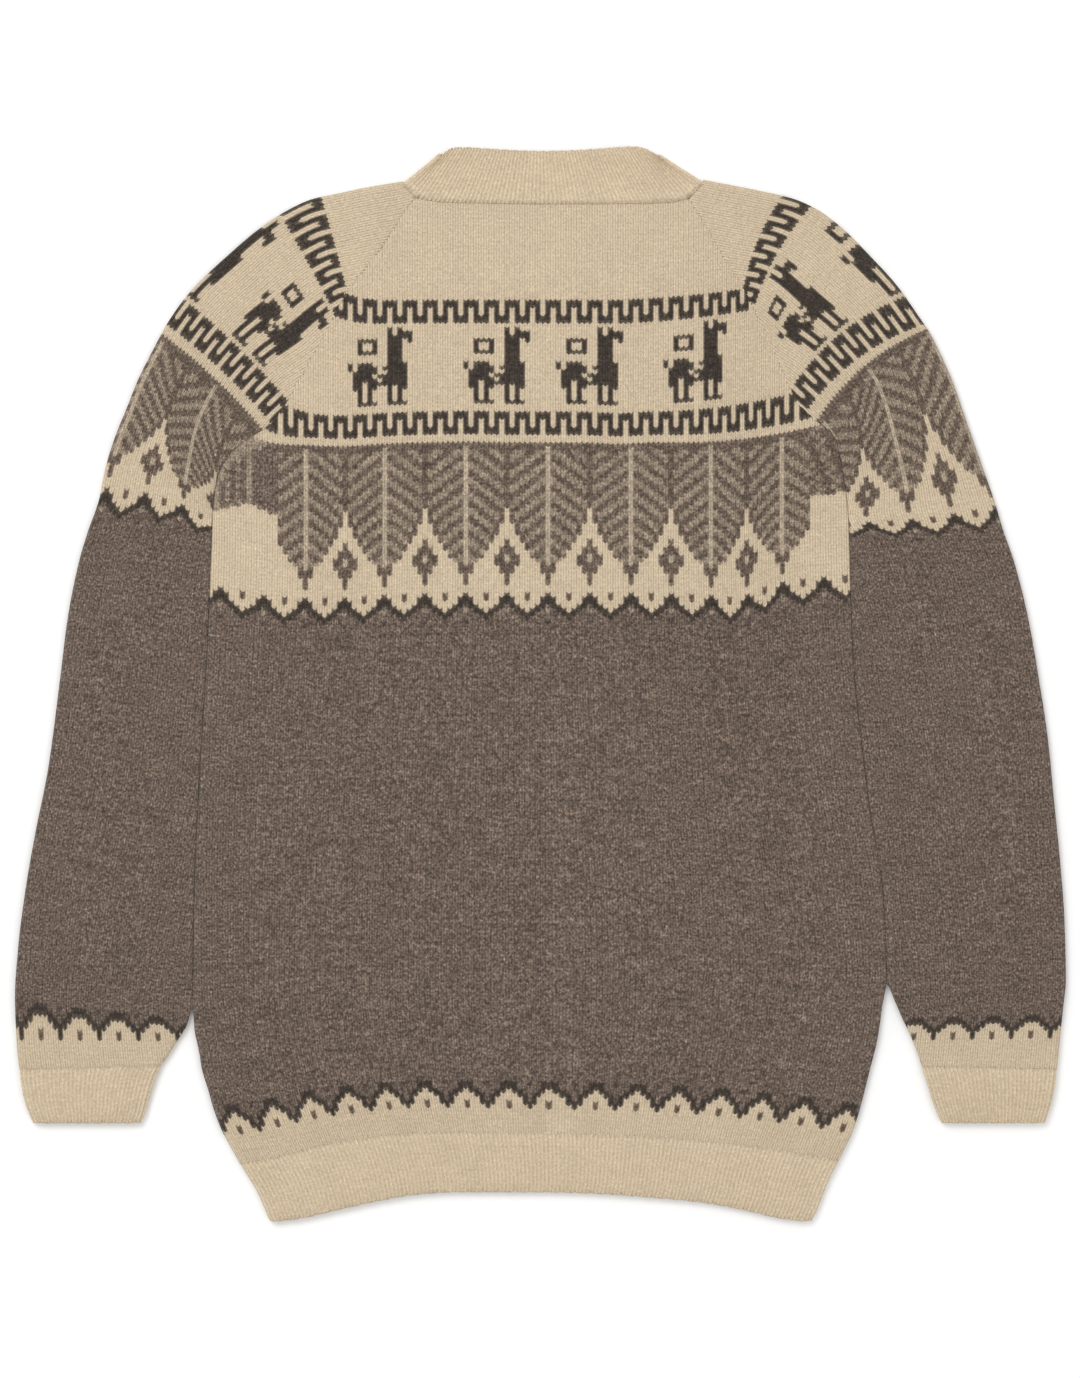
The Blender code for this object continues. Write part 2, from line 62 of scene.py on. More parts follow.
NECK_Y = 322
RIB_TOP_Y = -299
BODY_ROWS = 242
YOKE_ROWS = 112
CENTRE_X = 3.3          # of the middle leaf's spine
UNDERARM_Y = 176        # height at which the raglan seams end
UNDERARM_EASE = 22      # length over which the two layers close into a side edge

BODY_LEFT_EDGE = (
    # y, x
    (330, -79), (324, -85), (291, -107), (261, -130), (231, -146), (204, -161), (184, -173), (172, -183),
    (164, -196), (154, -208), (141, -215), (124, -218), (84, -220), (31, -222), (-69, -228), (-138, -231),
    (-209, -232), (-229, -231), (-243, -228), (-256, -226), (-269, -222), (-283, -218), (-296, -213),
    (-309, -206), (-323, -198), (-336, -190), (-349, -184), (-359, -180),
)
BODY_RIGHT_EDGE = (
    # y, x
    (330, 96), (322, 101), (291, 119), (264, 136), (231, 152), (204, 164), (187, 173), (176, 185),
    (167, 196), (147, 201), (129, 204), (104, 206), (68, 207), (33, 208), (-76, 219), (-143, 229),
    (-198, 231), (-209, 229), (-236, 225), (-256, 220), (-276, 215), (-296, 209), (-309, 203),
    (-323, 196), (-336, 190), (-349, 185), (-359, 180),
)
HEM_DROOP = (
    # across, droop
    (-1.0, 20), (-0.88, 16), (-0.75, 9), (-0.62, 4), (-0.5, 1), (-0.35, -1), (0.0, 0), (0.3, 1.5),
    (0.5, 4), (0.65, 7), (0.8, 11), (0.92, 15), (1.0, 18),
)
LEFT_DROOP = 20
RIGHT_DROOP = 18
DROOP_ROWS = (90, 240)
DROOP_START_Y = 60
DROOP_POWER = 1.6
NECK_RISE = (
    # across, rise
    (-1.0, 5), (-0.85, 2), (-0.65, 0.8), (0.0, 0), (0.65, 0.3), (0.85, 1.2), (1.0, 4),
)
NECK_FADE = 40

# Soft creases of the upper layers: ends of the crest, half width and height
CREASES = (
    # x0, y0, x1, y1, width, height
    (-206, 140, -150, 60, 11, 1.2),
    (196, 150, 146, 58, 12, 1.1),
    (-120, -30, -96, -250, 22, 0.7),
    (84, 40, 112, -190, 26, 0.8),
    (-20, -60, -34, -280, 18, 0.5),
    (160, -60, 150, -270, 20, 0.7),
    (-180, -90, -172, -240, 15, 0.6),
    (-60, 180, 70, 172, 16, 0.4),
    (-246, 150, -262, 20, 12, 0.9),
    (-290, 40, -300, -180, 16, 0.8),
    (-262, -60, -276, -230, 12, 0.6),
    (236, 150, 256, 30, 12, 0.9),
    (300, 50, 312, -170, 17, 0.8),
    (262, -40, 280, -220, 12, 0.6),
    (-170, 240, -226, 196, 14, 0.7),
    (184, 236, 232, 190, 13, 0.6),
)
CREASE_REACH = 1.2      # how far from its middle a crease dies out, in its own lengths
CREASE_START = 4 * EDGE_ROLL
BODY_DOME = 0.7
DOME_TOP_ROWS = (0, 24)
DOME_BOTTOM_ROWS = (232, 242)

# How far the wales lie from the centre spine, and the reach of the last one at each side edge
LEFT_REACH = 222.7
RIGHT_REACH = 202.7
WALES_LEFT = (
    # stitches, offset
    (0, 0), (8, 27.3), (16, 54.7), (32, 108.7), (48, 161.3), (56, 188.7), (65.5, LEFT_REACH), (90, 306),
)
WALES_LEFT_HEM = (
    # stitches, offset
    (0, 0), (3.5, 10.5), (11.5, 39.8), (19.5, 67.7), (27.5, 95), (35.5, 120.8), (43.5, 147.2),
    (51.5, 172.6), (59.5, 198), (67, LEFT_REACH), (90, 300),
)
WALES_RIGHT_CHEST = (
    # stitches, offset
    (0, 0), (16, 55.3), (24, 82), (32, 108.7), (40, 132.7), (48, 156), (56, 183.3), (61.5, RIGHT_REACH),
    (90, 304),
)
WALES_RIGHT_HEM = (
    # stitches, offset
    (0, 0), (4.5, 19.2), (12.5, 45.9), (20.5, 73.6), (28.5, 99.8), (36.5, 128.2), (44.5, 154.2),
    (52.5, 182.3), (58.5, RIGHT_REACH), (90, 310),
)
FIT_ROWS = (80, 120)    # rows over which the wales begin to fill the body from edge to edge
HEM_WALE_ROWS = (115, 225)
SCAN_STITCH = 75        # beyond both side edges
SCAN_STEP = 0.25

# Lift of the rows over the chest, and how it fades above and below
CHEST_WAVE = (
    # stitch, lift
    (-66, 5.3), (-60, 1.5), (-56, -1.5), (-48, -3.3), (-40, -3.3), (-32, -1.5), (-16, 0), (16, 0),
    (32, -1.5), (38, -3), (44, 3.5), (48, 7), (56, 10.5), (62, 12),
)
CHEST_WAVE_FADE = (
    # row, share
    (0, 0), (62, 0), (85, 0.8), (95, 1), (112, 1), (150, 0.3), (190, 0), (242, 0),
)
# Lift of the rows at the foot of the yoke, and how it fades above and below
YOKE_WAVE = (
    # stitch, lift
    (-66, 0), (-56, -1.2), (-48, -1.7), (-40, -2.6), (-32, -1), (-24, 0), (-14, 0.5), (-6, 0), (6, 0),
    (14, -1), (21, 0), (90, 0),
)
YOKE_WAVE_FADE = (
    # row, share
    (0, 0), (31, 0.2), (54, 1), (62, 1), (85, 0), (242, 0),
)
# Rise of the yoke's rows beside the two raglan lines
RAGLAN_RISE = (
    # row, left_rise, right_rise
    (0, 0, 0), (8, 0, 0), (28, 6.5, 9.5), (57, 8, 15), (60, 8, 15.5), (63, 8, 14.5), (76, 0, 0),
    (242, 0, 0),
)
RAGLAN_REACH_LEFT = 9   # stitches
RAGLAN_REACH_RIGHT = 31


def smooth(table, at):
    """The second column of a table at the given values of its first, by a curve that never overshoots."""
    rows = np.array(sorted(table), float)
    x = rows[:, 0]
    y = rows[:, 1]
    step = np.diff(x)
    slope = np.diff(y) / step
    tangent = np.zeros(len(x))
    same = slope[:-1] * slope[1:] > 0
    weight_a = 2 * step[1:] + step[:-1]
    weight_b = step[1:] + 2 * step[:-1]
    safe_before = np.where(same, slope[:-1], 1.0)
    safe_after = np.where(same, slope[1:], 1.0)
    mean = (weight_a + weight_b) / (weight_a / safe_before + weight_b / safe_after)
    tangent[1:-1] = np.where(same, mean, 0.0)
    tangent[0] = slope[0]
    tangent[-1] = slope[-1]
    at = np.clip(np.asarray(at, float), x[0], x[-1])
    k = np.clip(np.searchsorted(x, at, side="right") - 1, 0, len(step) - 1)
    t = (at - x[k]) / step[k]
    rise = y[k] * (1 + 2 * t) * (1 - t) ** 2 + y[k + 1] * t ** 2 * (3 - 2 * t)
    turn = step[k] * (tangent[k] * t * (1 - t) ** 2 + tangent[k + 1] * t ** 2 * (t - 1))
    return rise + turn


def straight(table, at):
    """The second column of a table at the given values of its first, by straight lines."""
    return np.interp(at, *np.array(table, float).T)


def ramp(value, start, end):
    """0 before start, 1 after end, easing between them."""
    t = np.clip((np.asarray(value, float) - start) / (end - start), 0, 1)
    return t * t * (3 - 2 * t)


def column(table, value):
    """A table's first column with another one."""
    return [(row[0], row[value]) for row in table]


def crease_height(x, y):
    """Height of all the creases together at a place."""
    total = np.zeros(np.broadcast(x, y).shape)
    for x0, y0, x1, y1, width, height in CREASES:
        run_x = x1 - x0
        run_y = y1 - y0
        along = ((x - x0) * run_x + (y - y0) * run_y) / (run_x ** 2 + run_y ** 2)
        nearest = np.clip(along, 0, 1)
        away = np.hypot(x - x0 - nearest * run_x, y - y0 - nearest * run_y)
        fade = np.clip(CREASE_REACH - np.abs(along - 0.5), 0, 1)
        total = total + height * fade * np.exp(-((away / width) ** 2))
    return total


def closed_seam(y):
    """0 where an edge is an open raglan seam, 1 where the upper and the lower layer are sewn together."""
    return np.clip((UNDERARM_Y - y) / UNDERARM_EASE, 0, 1)


def seam_gap(y):
    """Clear space beside a side edge at a height."""
    return RAGLAN_GAP + (SEAM_GAP - RAGLAN_GAP) * closed_seam(y)


def upper_heights(x, y, distance, seam):
    """Outer and inner height of an upper layer, by its distance from the nearest seam edge."""
    lift = crease_height(x, y) * np.clip(distance / CREASE_START, 0, 1)
    top = UPPER_OUTER + lift
    share = np.clip(distance / EDGE_ROLL, 0, 1)
    edge_out = (1 - seam) * (top - SEAM_DIP) + seam * (MID_HEIGHT + SEAM_GAP / 2 + EDGE_FACE)
    edge_in = (1 - seam) * (top - WALL) + seam * (MID_HEIGHT + SEAM_GAP / 2)
    outer = edge_out + (top - edge_out) * np.sqrt(1 - (1 - share) ** 2)
    inner = edge_in + (top - WALL - edge_in) * share * share * (3 - 2 * share)
    return outer, inner


def lower_heights(distance, seam):
    """Outer and inner height of the layer that rests on the ground."""
    share = np.clip(distance / EDGE_ROLL, 0, 1)
    edge_out = seam * (MID_HEIGHT - SEAM_GAP / 2 - EDGE_FACE)
    edge_in = (1 - seam) * WALL + seam * (MID_HEIGHT - SEAM_GAP / 2)
    outer = edge_out * (1 - np.sqrt(1 - (1 - share) ** 2))
    inner = edge_in + (WALL - edge_in) * share * share * (3 - 2 * share)
    return outer, inner


def body_place(stitch, row):
    """Where a stitch of the back or front lies, in millimetres, before the side edges cut it off."""
    stitch = np.asarray(stitch, float)
    row = np.asarray(row, float)
    level = NECK_Y - (NECK_Y - RIB_TOP_Y) / BODY_ROWS * row
    left_edge = smooth(BODY_LEFT_EDGE, level - LEFT_DROOP * ramp(row, *DROOP_ROWS))
    right_edge = smooth(BODY_RIGHT_EDGE, level - RIGHT_DROOP * ramp(row, *DROOP_ROWS))
    fit = ramp(row, *FIT_ROWS)
    left_scale = 1 + fit * ((CENTRE_X - left_edge) / LEFT_REACH - 1)
    right_scale = 1 + fit * ((right_edge - CENTRE_X) / RIGHT_REACH - 1)
    hem = ramp(row, *HEM_WALE_ROWS)
    left = (1 - hem) * smooth(WALES_LEFT, -stitch) + hem * smooth(WALES_LEFT_HEM, -stitch)
    right = (1 - hem) * smooth(WALES_RIGHT_CHEST, stitch) + hem * smooth(WALES_RIGHT_HEM, stitch)
    offset = np.where(stitch < 0, -left * left_scale, right * right_scale)
    x = CENTRE_X + offset
    across = np.clip(2 * (x - left_edge) / (right_edge - left_edge) - 1, -1, 1)
    to_hem = np.clip((DROOP_START_Y - level) / (DROOP_START_Y - RIB_TOP_Y), 0, 1)
    droop = smooth(HEM_DROOP, across) * to_hem ** DROOP_POWER
    rise = smooth(NECK_RISE, across) * np.clip(1 - (NECK_Y - level) / NECK_FADE, 0, 1)
    wave = smooth(CHEST_WAVE, stitch) * straight(CHEST_WAVE_FADE, row)
    wave = wave + smooth(YOKE_WAVE, stitch) * straight(YOKE_WAVE_FADE, row)
    from_left = (x - left_edge) / STITCH_WIDTH
    from_right = (right_edge - x) / STITCH_WIDTH
    left_rise = straight(column(RAGLAN_RISE, 1), row)
    right_rise = straight(column(RAGLAN_RISE, 2), row)
    raglan = left_rise * np.clip(1 - from_left / RAGLAN_REACH_LEFT, 0, 1) ** 2
    raglan = raglan + right_rise * np.clip(1 - from_right / RAGLAN_REACH_RIGHT, 0, 1) ** 2
    return x, level + rise - droop + wave + raglan


def body_limits(row):
    """The stitches at which the left and the right side edge cut a row of the body."""
    stitch = np.arange(-SCAN_STITCH, SCAN_STITCH + 0.01, SCAN_STEP)
    x, y = body_place(stitch, row)
    left_over = x - smooth(BODY_LEFT_EDGE, y) - seam_gap(y)
    right_over = smooth(BODY_RIGHT_EDGE, y) - seam_gap(y) - x
    inside = np.where((left_over >= 0) & (right_over >= 0))[0]
    first = inside[0]
    last = inside[-1]
    left_share = left_over[first] / (left_over[first] - left_over[first - 1])
    right_share = right_over[last] / (right_over[last] - right_over[last + 1])
    return stitch[first] - SCAN_STEP * left_share, stitch[last] + SCAN_STEP * right_share


# Charts: X is the dark yarn, and a row of the chart is a row of knitting
KEY_CHART = ("XXX.", "XXX.", "X.X.", "X.X.", "X.XX", "X.XX")
LLAMA_CHART = (
    "........X.X..",
    "........X.XXX",
    "........XXXXX",
    "..XXXX..XXX.X",
    "..X..X..XXX..",
    "..X..X..XXX..",
    "..XXXX..XXX..",
    "........XXX..",
    "........XXX..",
    "X.XXX...XXXX.",
    "X.XXXX.XXXXX.",
    ".XXXXX..XXXX.",
    ".XXXX.XXXXXX.",
    ".XXXXX.XXXXX.",
    ".XX.XXXXXXXX.",
    ".XX.XX..X.XX.",
    "..X.X...X.X..",
    "..X.X...X.X..",
    "..X.X...X.X..",
    "..XXXX..XXXX.",
)
DIAMOND_HALF_WIDTHS = (0, 0, 1, 1, 2, 2, 2, 1, 1, 0, 0, 0)
LEAF_HALF_WIDTH = (
    # line, half_width
    (0, 8.5), (16.9, 8), (20.4, 7), (23, 6), (25.3, 5), (27.4, 4), (29, 3), (30.9, 2), (33.3, 1),
    (36.4, 0), (37, -1),
)
LEAF_VEIN_LINES = (1, 31)
LEAF_BARB_LINES = (2, 33)
# Scallops and arches, from their tips: rows down to the dark line and to its other side
SCALLOP_EDGE = ((0, 3), (1, 4), (3, 5), (4, 6), (5, 7))
HEM_ARCH = ((0, 2), (0, 3), (2, 4), (3, 6), (5, 7))
CUFF_ARCH = ((0, 2), (0, 2), (1, 3), (2, 4), (3, 6))

CREAM, DARK, GROUND, LEAF, VEIN, SEED, BARB, FLECK = range(8)
KEY_TOP_ROW = 25
BAND_ROW = 31
LLAMA_ROW = 32
LLAMA_ROWS = 20
KEY_LOW_ROW = 54
LINE_ROW = 60
LEAF_ROW = 62
DIAMOND_ROW = 87
SCALLOP_ROW = 101
LLAMA_STARTS = (-39, -16, 2, 23)
BORDER_START_ROW = 180
HEM_PEAK_ROW = 228
UNDERARM_STITCH = 53    # beyond it, left and right, lie the patches under the arms
UNDERARM_ROW = 77       # their last row


def key_yarn(stitch, row):
    """A key band, a repeat of four stitches."""
    return DARK if KEY_CHART[row][stitch % 4] == "X" else CREAM


def llama_yarn(stitch, line, starts):
    """The llamas that begin at the given stitches."""
    if 0 <= line < LLAMA_ROWS:
        chart_row = LLAMA_CHART[int(line)]
        for start in starts:
            if 0 <= stitch - start < len(chart_row) and chart_row[stitch - start] == "X":
                return DARK
    return CREAM


def leaf_yarn(stitch, row):
    """Leaves that hang from the key band, a repeat of sixteen stitches with a diamond between two leaves."""
    away = abs((stitch + 8) % 16 - 8)
    line = row - LEAF_ROW
    half_width = straight(LEAF_HALF_WIDTH, line)
    if away <= half_width:
        if away == 0 and LEAF_VEIN_LINES[0] <= line <= LEAF_VEIN_LINES[1]:
            return VEIN
        barbed = LEAF_BARB_LINES[0] <= line <= LEAF_BARB_LINES[1] and 0 < away < half_width - 0.4
        if barbed and (line - away) % 4 in (0, 1):
            return BARB
        return LEAF
    between = 8 - away
    if 0 <= row - DIAMOND_ROW < len(DIAMOND_HALF_WIDTHS):
        half = DIAMOND_HALF_WIDTHS[row - DIAMOND_ROW]
        if between <= half:
            return VEIN if half == 2 and between == 0 and row - DIAMOND_ROW < 6 else LEAF
    return CREAM


def scallop_yarn(stitch, row):
    """The cream scallops under the leaves, with a dark edge, a seed in each and flecks below."""
    away = abs((stitch + 4) % 8 - 4)
    line = row - SCALLOP_ROW
    edge, end = SCALLOP_EDGE[away]
    if line < edge:
        return SEED if away == 4 and line in (0, 1) else CREAM
    if line < end:
        return DARK
    if away == 0 and line == 4:
        return BARB
    if away == 0 and line == 7:
        return FLECK
    return GROUND


def border_yarn(stitch, row, peak_row, arch):
    """The arches above a ribbed edge: cream arches with a dark outline and a seed in each."""
    away = abs((stitch + 4) % 8 - 4)
    line = row - peak_row
    edge, end = arch[away]
    if line < edge:
        return FLECK if away == 4 and line == 0 else GROUND
    if line < end:
        return DARK
    return SEED if away == 0 and 0 < arch[4][1] - line < 3 else CREAM


ARMHOLE_STITCH = (
    # row, stitch
    (62, -56), (66, -61.5), (70, -64), (76, -65.5),
)
PATCH_SPINE = -59


def underarm_left(stitch, row):
    """A patch with one light wale, speckled on the sleeve's side of it."""
    if row > UNDERARM_ROW + abs(stitch - PATCH_SPINE) / 2:
        return CREAM
    if stitch < straight(ARMHOLE_STITCH, row) + 0.7 or stitch == PATCH_SPINE:
        return BARB
    if stitch > PATCH_SPINE:
        return GROUND
    return BARB if stitch % 2 and row % 2 else GROUND


def underarm_right(stitch, row):
    """A speckled patch whose lower edge climbs towards the sleeve."""
    if row > UNDERARM_ROW - max(0, (stitch - 57) // 2):
        return CREAM
    return BARB if (stitch * 7 + row * 5) % 11 < 3 else LEAF


def pattern_yarn(stitch, row, spine, starts, llama_rows, border):
    """The yarn of one stitch of a row counted from the neckline.

    A leaf's spine and the llamas' first stitches say where the repeats lie. The border is the stitch and
    the row of an arch's peak, with the chart of the arch.
    """
    if row < KEY_TOP_ROW or LINE_ROW <= row < LEAF_ROW:
        return CREAM
    if row < BAND_ROW:
        return key_yarn(stitch, row - KEY_TOP_ROW)
    if row < KEY_LOW_ROW:
        return llama_yarn(stitch, (row - LLAMA_ROW) * LLAMA_ROWS / llama_rows, starts)
    if row < LINE_ROW:
        return key_yarn(stitch + 2, row - KEY_LOW_ROW)
    if row < SCALLOP_ROW - 1:
        return leaf_yarn(stitch - spine, row)
    if row < BORDER_START_ROW:
        return scallop_yarn(stitch - spine, row)
    peak, peak_row, arch = border
    return border_yarn(stitch - peak, row, peak_row, arch)


def back_yarn(stitch, row):
    """The back's pattern, counted from the middle leaf's spine, with the patches under its arms."""
    if LEAF_ROW <= row < SCALLOP_ROW - 1 and abs(stitch) > UNDERARM_STITCH:
        return underarm_left(stitch, row) if stitch < 0 else underarm_right(stitch, row)
    return pattern_yarn(stitch, row, 0, LLAMA_STARTS, LLAMA_ROWS, (0, HEM_PEAK_ROW, HEM_ARCH))


def linear(red, green, blue):
    """A colour given in screen values from 0 to 255, as scene values."""
    share = [value / 255 for value in (red, green, blue)]
    return [s / 12.92 if s < 0.04045 else ((s + 0.055) / 1.055) ** 2.4 for s in share]


YARN_COLOURS = np.array([
    linear(205, 187, 160),
    linear(62, 54, 48),
    linear(107, 93, 83),
    linear(102, 88, 77),
    linear(176, 160, 139),
    linear(96, 80, 68),
    linear(147, 132, 115),
    linear(78, 68, 61),
])
# How mottled each yarn is: the cream is even, and the greys are spun from light and dark fibres
YARN_HEATHER = np.array([0.2, 0.7, 1.0, 0.9, 0.5, 0.7, 0.7, 0.9])
STITCH_HEATHER = 0.06
SIDE_BLEND = 0.25
ROW_BLEND = 0.12


def join_edges(outer_line, outer_share, inner_line, inner_share):
    """Triangles between two edges that run the same way with their points at given shares."""
    faces = []
    i = 0
    j = 0
    while i < len(outer_line) - 1 or j < len(inner_line) - 1:
        next_outer = outer_share[i + 1] if i < len(outer_line) - 1 else 9e9
        next_inner = inner_share[j + 1] if j < len(inner_line) - 1 else 9e9
        if next_outer <= next_inner:
            faces.append((outer_line[i], outer_line[i + 1], inner_line[j]))
            i += 1
        else:
            faces.append((outer_line[i], inner_line[j + 1], inner_line[j]))
            j += 1
    return faces


def cut_grid(stitches, rows, limits):
    """Point numbers of a grid whose rows are cut off at their limits, with one point at each cut."""
    low = limits[:, 0][:, None]
    high = limits[:, 1][:, None]
    columns = np.broadcast_to(stitches, (len(rows), len(stitches)))
    clipped = np.clip(columns, low, high)
    first = np.maximum((columns <= low).sum(axis=1) - 1, 0)
    last = np.minimum(len(stitches) - (columns >= high).sum(axis=1), len(stitches) - 1)
    number = np.arange(len(stitches))[None, :]
    number = np.clip(number, first[:, None], last[:, None])
    index = number + np.arange(len(rows))[:, None] * len(stitches)
    clipped[np.arange(len(rows)), first] = low[:, 0]
    clipped[np.arange(len(rows)), last] = high[:, 0]
    return clipped, index, first, last


def grid_faces(index, flipped):
    """The squares of a grid of point numbers that aren't empty, and their rows and columns."""
    a = index[:-1, :-1]
    b = index[:-1, 1:]
    c = index[1:, 1:]
    d = index[1:, :-1]
    alive = ~((a == b) & (c == d))
    row_of, column_of = np.nonzero(alive)
    order = (a, b, c, d) if flipped else (a, d, c, b)
    squares = np.stack([side[alive] for side in order], axis=1)
    faces = []
    for square in squares.tolist():
        faces.append(tuple(value for k, value in enumerate(square) if value != square[k - 1]))
    return faces, row_of, column_of


def knit_mesh(name, outer_grid, inner_grid, place, yarn_of, seed, ring=False):
    """A closed wall of knitting.

    Both grids are stitch places, rows, and the stitches at which each row is cut. A place is found for each
    point from its stitch, its row and whether it lies on the outer side. A ring closes round on itself.
    """
    stitches, rows, limits = outer_grid
    inner_stitches, inner_rows, inner_limits = inner_grid
    clipped, index, first, last = cut_grid(stitches, rows, limits)
    inner_clipped, inner_index, inner_first, inner_last = cut_grid(inner_stitches, inner_rows, inner_limits)
    level = np.broadcast_to(np.array(rows, float)[:, None], clipped.shape)
    inner_level = np.broadcast_to(np.array(inner_rows, float)[:, None], inner_clipped.shape)
    # The middle of each stitch lies half a row lower than its sides, which makes the V of its two legs
    lean = 0.5 * (1 - np.abs(clipped - np.floor(clipped) - 0.5) * 2)
    lean[0] = 0
    lean[-1] = 0
    if not ring:
        lean[np.arange(len(rows)), first] = 0
        lean[np.arange(len(rows)), last] = 0
    shifted = level + lean
    outer_points = place(clipped, shifted, True)
    inner_points = place(inner_clipped, inner_level, False)
    if ring:
        index[:, -1] = index[:, 0]
        inner_index[:, -1] = inner_index[:, 0]
    base = clipped.size
    inner_index = inner_index + base
    faces, row_of, column_of = grid_faces(index, False)
    inner_faces, _, _ = grid_faces(inner_index, True)
    middle = (clipped[row_of, column_of] + clipped[row_of, column_of + 1]) / 2
    face_stitch = np.floor(middle + 1e-6).astype(int)
    face_row = np.floor(np.array(rows)[row_of] + 1e-6).astype(int)
    rim = []
    for end in (0, -1):
        outer_line = index[end, first[end]:last[end] + 1]
        inner_line = inner_index[end, inner_first[end]:inner_last[end] + 1]
        outer_share = clipped[end, first[end]:last[end] + 1]
        inner_share = inner_clipped[end, inner_first[end]:inner_last[end] + 1]
        found = join_edges(outer_line, outer_share, inner_line, inner_share)
        rim += found if end == 0 else [face[::-1] for face in found]
    sides = () if ring else ((first, inner_first, True), (last, inner_last, False))
    for side, inner_side, turned in sides:
        outer_line = index[np.arange(len(rows)), side]
        inner_line = inner_index[np.arange(len(inner_rows)), inner_side]
        found = join_edges(outer_line, rows, inner_line, inner_rows)
        rim += [face[::-1] for face in found] if turned else found
    used = faces + inner_faces + rim
    points = np.concatenate([outer_points.reshape(-1, 4), inner_points.reshape(-1, 4)])
    stitch = np.concatenate([clipped.reshape(-1), inner_clipped.reshape(-1)])
    row = np.concatenate([shifted.reshape(-1), inner_level.reshape(-1)])
    raised = points[:, 3].copy()
    raised[base:] = 0
    plain_stitch = [stitch[list(face)].mean() for face in inner_faces + rim]
    plain_row = [row[list(face)].mean() for face in inner_faces + rim]
    face_stitch = np.concatenate([face_stitch, np.floor(plain_stitch).astype(int)])
    face_row = np.concatenate([face_row, np.clip(np.floor(plain_row), 0, rows[-1] - 1).astype(int)])
    keep = np.unique(np.concatenate([np.array(face) for face in used]))
    renumber = np.full(len(points), -1)
    renumber[keep] = np.arange(len(keep))
    mesh = bpy.data.meshes.new(name)
    mesh.from_pydata((points[keep, :3] * MM).tolist(), [], [renumber[list(face)].tolist() for face in used])
    mesh.update()
    mesh.calc_loop_triangles()
    triangle = np.empty(len(mesh.loop_triangles) * 3, np.int32)
    mesh.loop_triangles.foreach_get("vertices", triangle)
    corner = points[keep, :3][triangle.reshape(-1, 3)]
    volume = np.einsum("ij,ij->", corner[:, 0], np.cross(corner[:, 1], corner[:, 2]))
    if volume < 0:
        mesh.flip_normals()
    values = np.stack([stitch, row, raised], axis=1)[keep]
    stitch_attribute = mesh.attributes.new("stitch", "FLOAT_VECTOR", "POINT")
    stitch_attribute.data.foreach_set("vector", values.reshape(-1))
    vertex_of = np.empty(len(mesh.loops), np.int32)
    mesh.loops.foreach_get("vertex_index", vertex_of)
    across = values[vertex_of, 0]
    if ring:
        face_of = np.repeat(np.arange(len(used)), [len(face) for face in used])
        beyond = (across < 1) & (face_stitch[face_of] >= stitches[-1] - 1)
        across = np.where(beyond, across + stitches[-1], across)
    flat_rows = np.concatenate([level.reshape(-1), inner_level.reshape(-1)])[keep]
    paint(mesh, face_stitch, face_row, across, flat_rows[vertex_of], yarn_of, seed)
    uv = mesh.uv_layers.new(name="Stitches")
    uv.data.foreach_set("uv", np.stack([across, values[vertex_of, 1]], axis=1).reshape(-1))
    mesh.shade_smooth()
    return mesh


def paint(mesh, face_stitch, face_row, across, level, yarn_of, seed):
    """Stores each stitch's yarn colour in its corners, with a little of its neighbours' at their edges."""
    rng = np.random.default_rng(seed)
    first_stitch = face_stitch.min() - 1
    stitch_count = face_stitch.max() + 2 - first_stitch
    row_count = face_row.max() + 2
    yarns = np.array([[yarn_of(int(s) + int(first_stitch), r - 1) for s in range(stitch_count)]
                      for r in range(row_count + 1)])
    light = 1 + STITCH_HEATHER * np.clip(rng.normal(size=yarns.shape), -2, 2) * YARN_HEATHER[yarns]
    stitch_colours = np.dstack([YARN_COLOURS[yarns] * light[..., None], YARN_HEATHER[yarns]])
    sizes = np.empty(len(mesh.polygons), np.int32)
    mesh.polygons.foreach_get("loop_total", sizes)
    s = np.repeat(face_stitch, sizes) - first_stitch
    r = np.repeat(face_row, sizes) + 1
    own = stitch_colours[r, s]
    to_right = np.abs(across - np.repeat(face_stitch, sizes) - 1) < 0.01
    to_left = np.abs(across - np.repeat(face_stitch, sizes)) < 0.01
    beside = stitch_colours[r, s + to_right - to_left]
    below = level - np.repeat(face_row, sizes) > 0.5
    above_or_below = stitch_colours[r + np.where(below, 1, -1), s]
    colours = own * (1 - SIDE_BLEND - ROW_BLEND) + beside * SIDE_BLEND + above_or_below * ROW_BLEND
    attribute = mesh.color_attributes.new("yarn", "FLOAT_COLOR", "CORNER")
    attribute.data.foreach_set("color", colours.reshape(-1))


def fill_inputs(tree, node, inputs):
    """Gives a node's inputs their values, or links them to the outputs named for them."""
    for slot, value in inputs.items():
        if isinstance(value, bpy.types.NodeSocket):
            tree.links.new(value, node.inputs[slot])
        else:
            node.inputs[slot].default_value = value


def tree_tools(tree):
    """Two functions for a node tree: one adds any node, the other a math node."""
    def add(kind, inputs=None, **settings):
        node = tree.nodes.new(kind)
        for setting, value in settings.items():
            setattr(node, setting, value)
        fill_inputs(tree, node, inputs or {})
        return node

    def maths(operation, *values):
        return add("ShaderNodeMath", dict(enumerate(values)), operation=operation).outputs[0]
    return add, maths


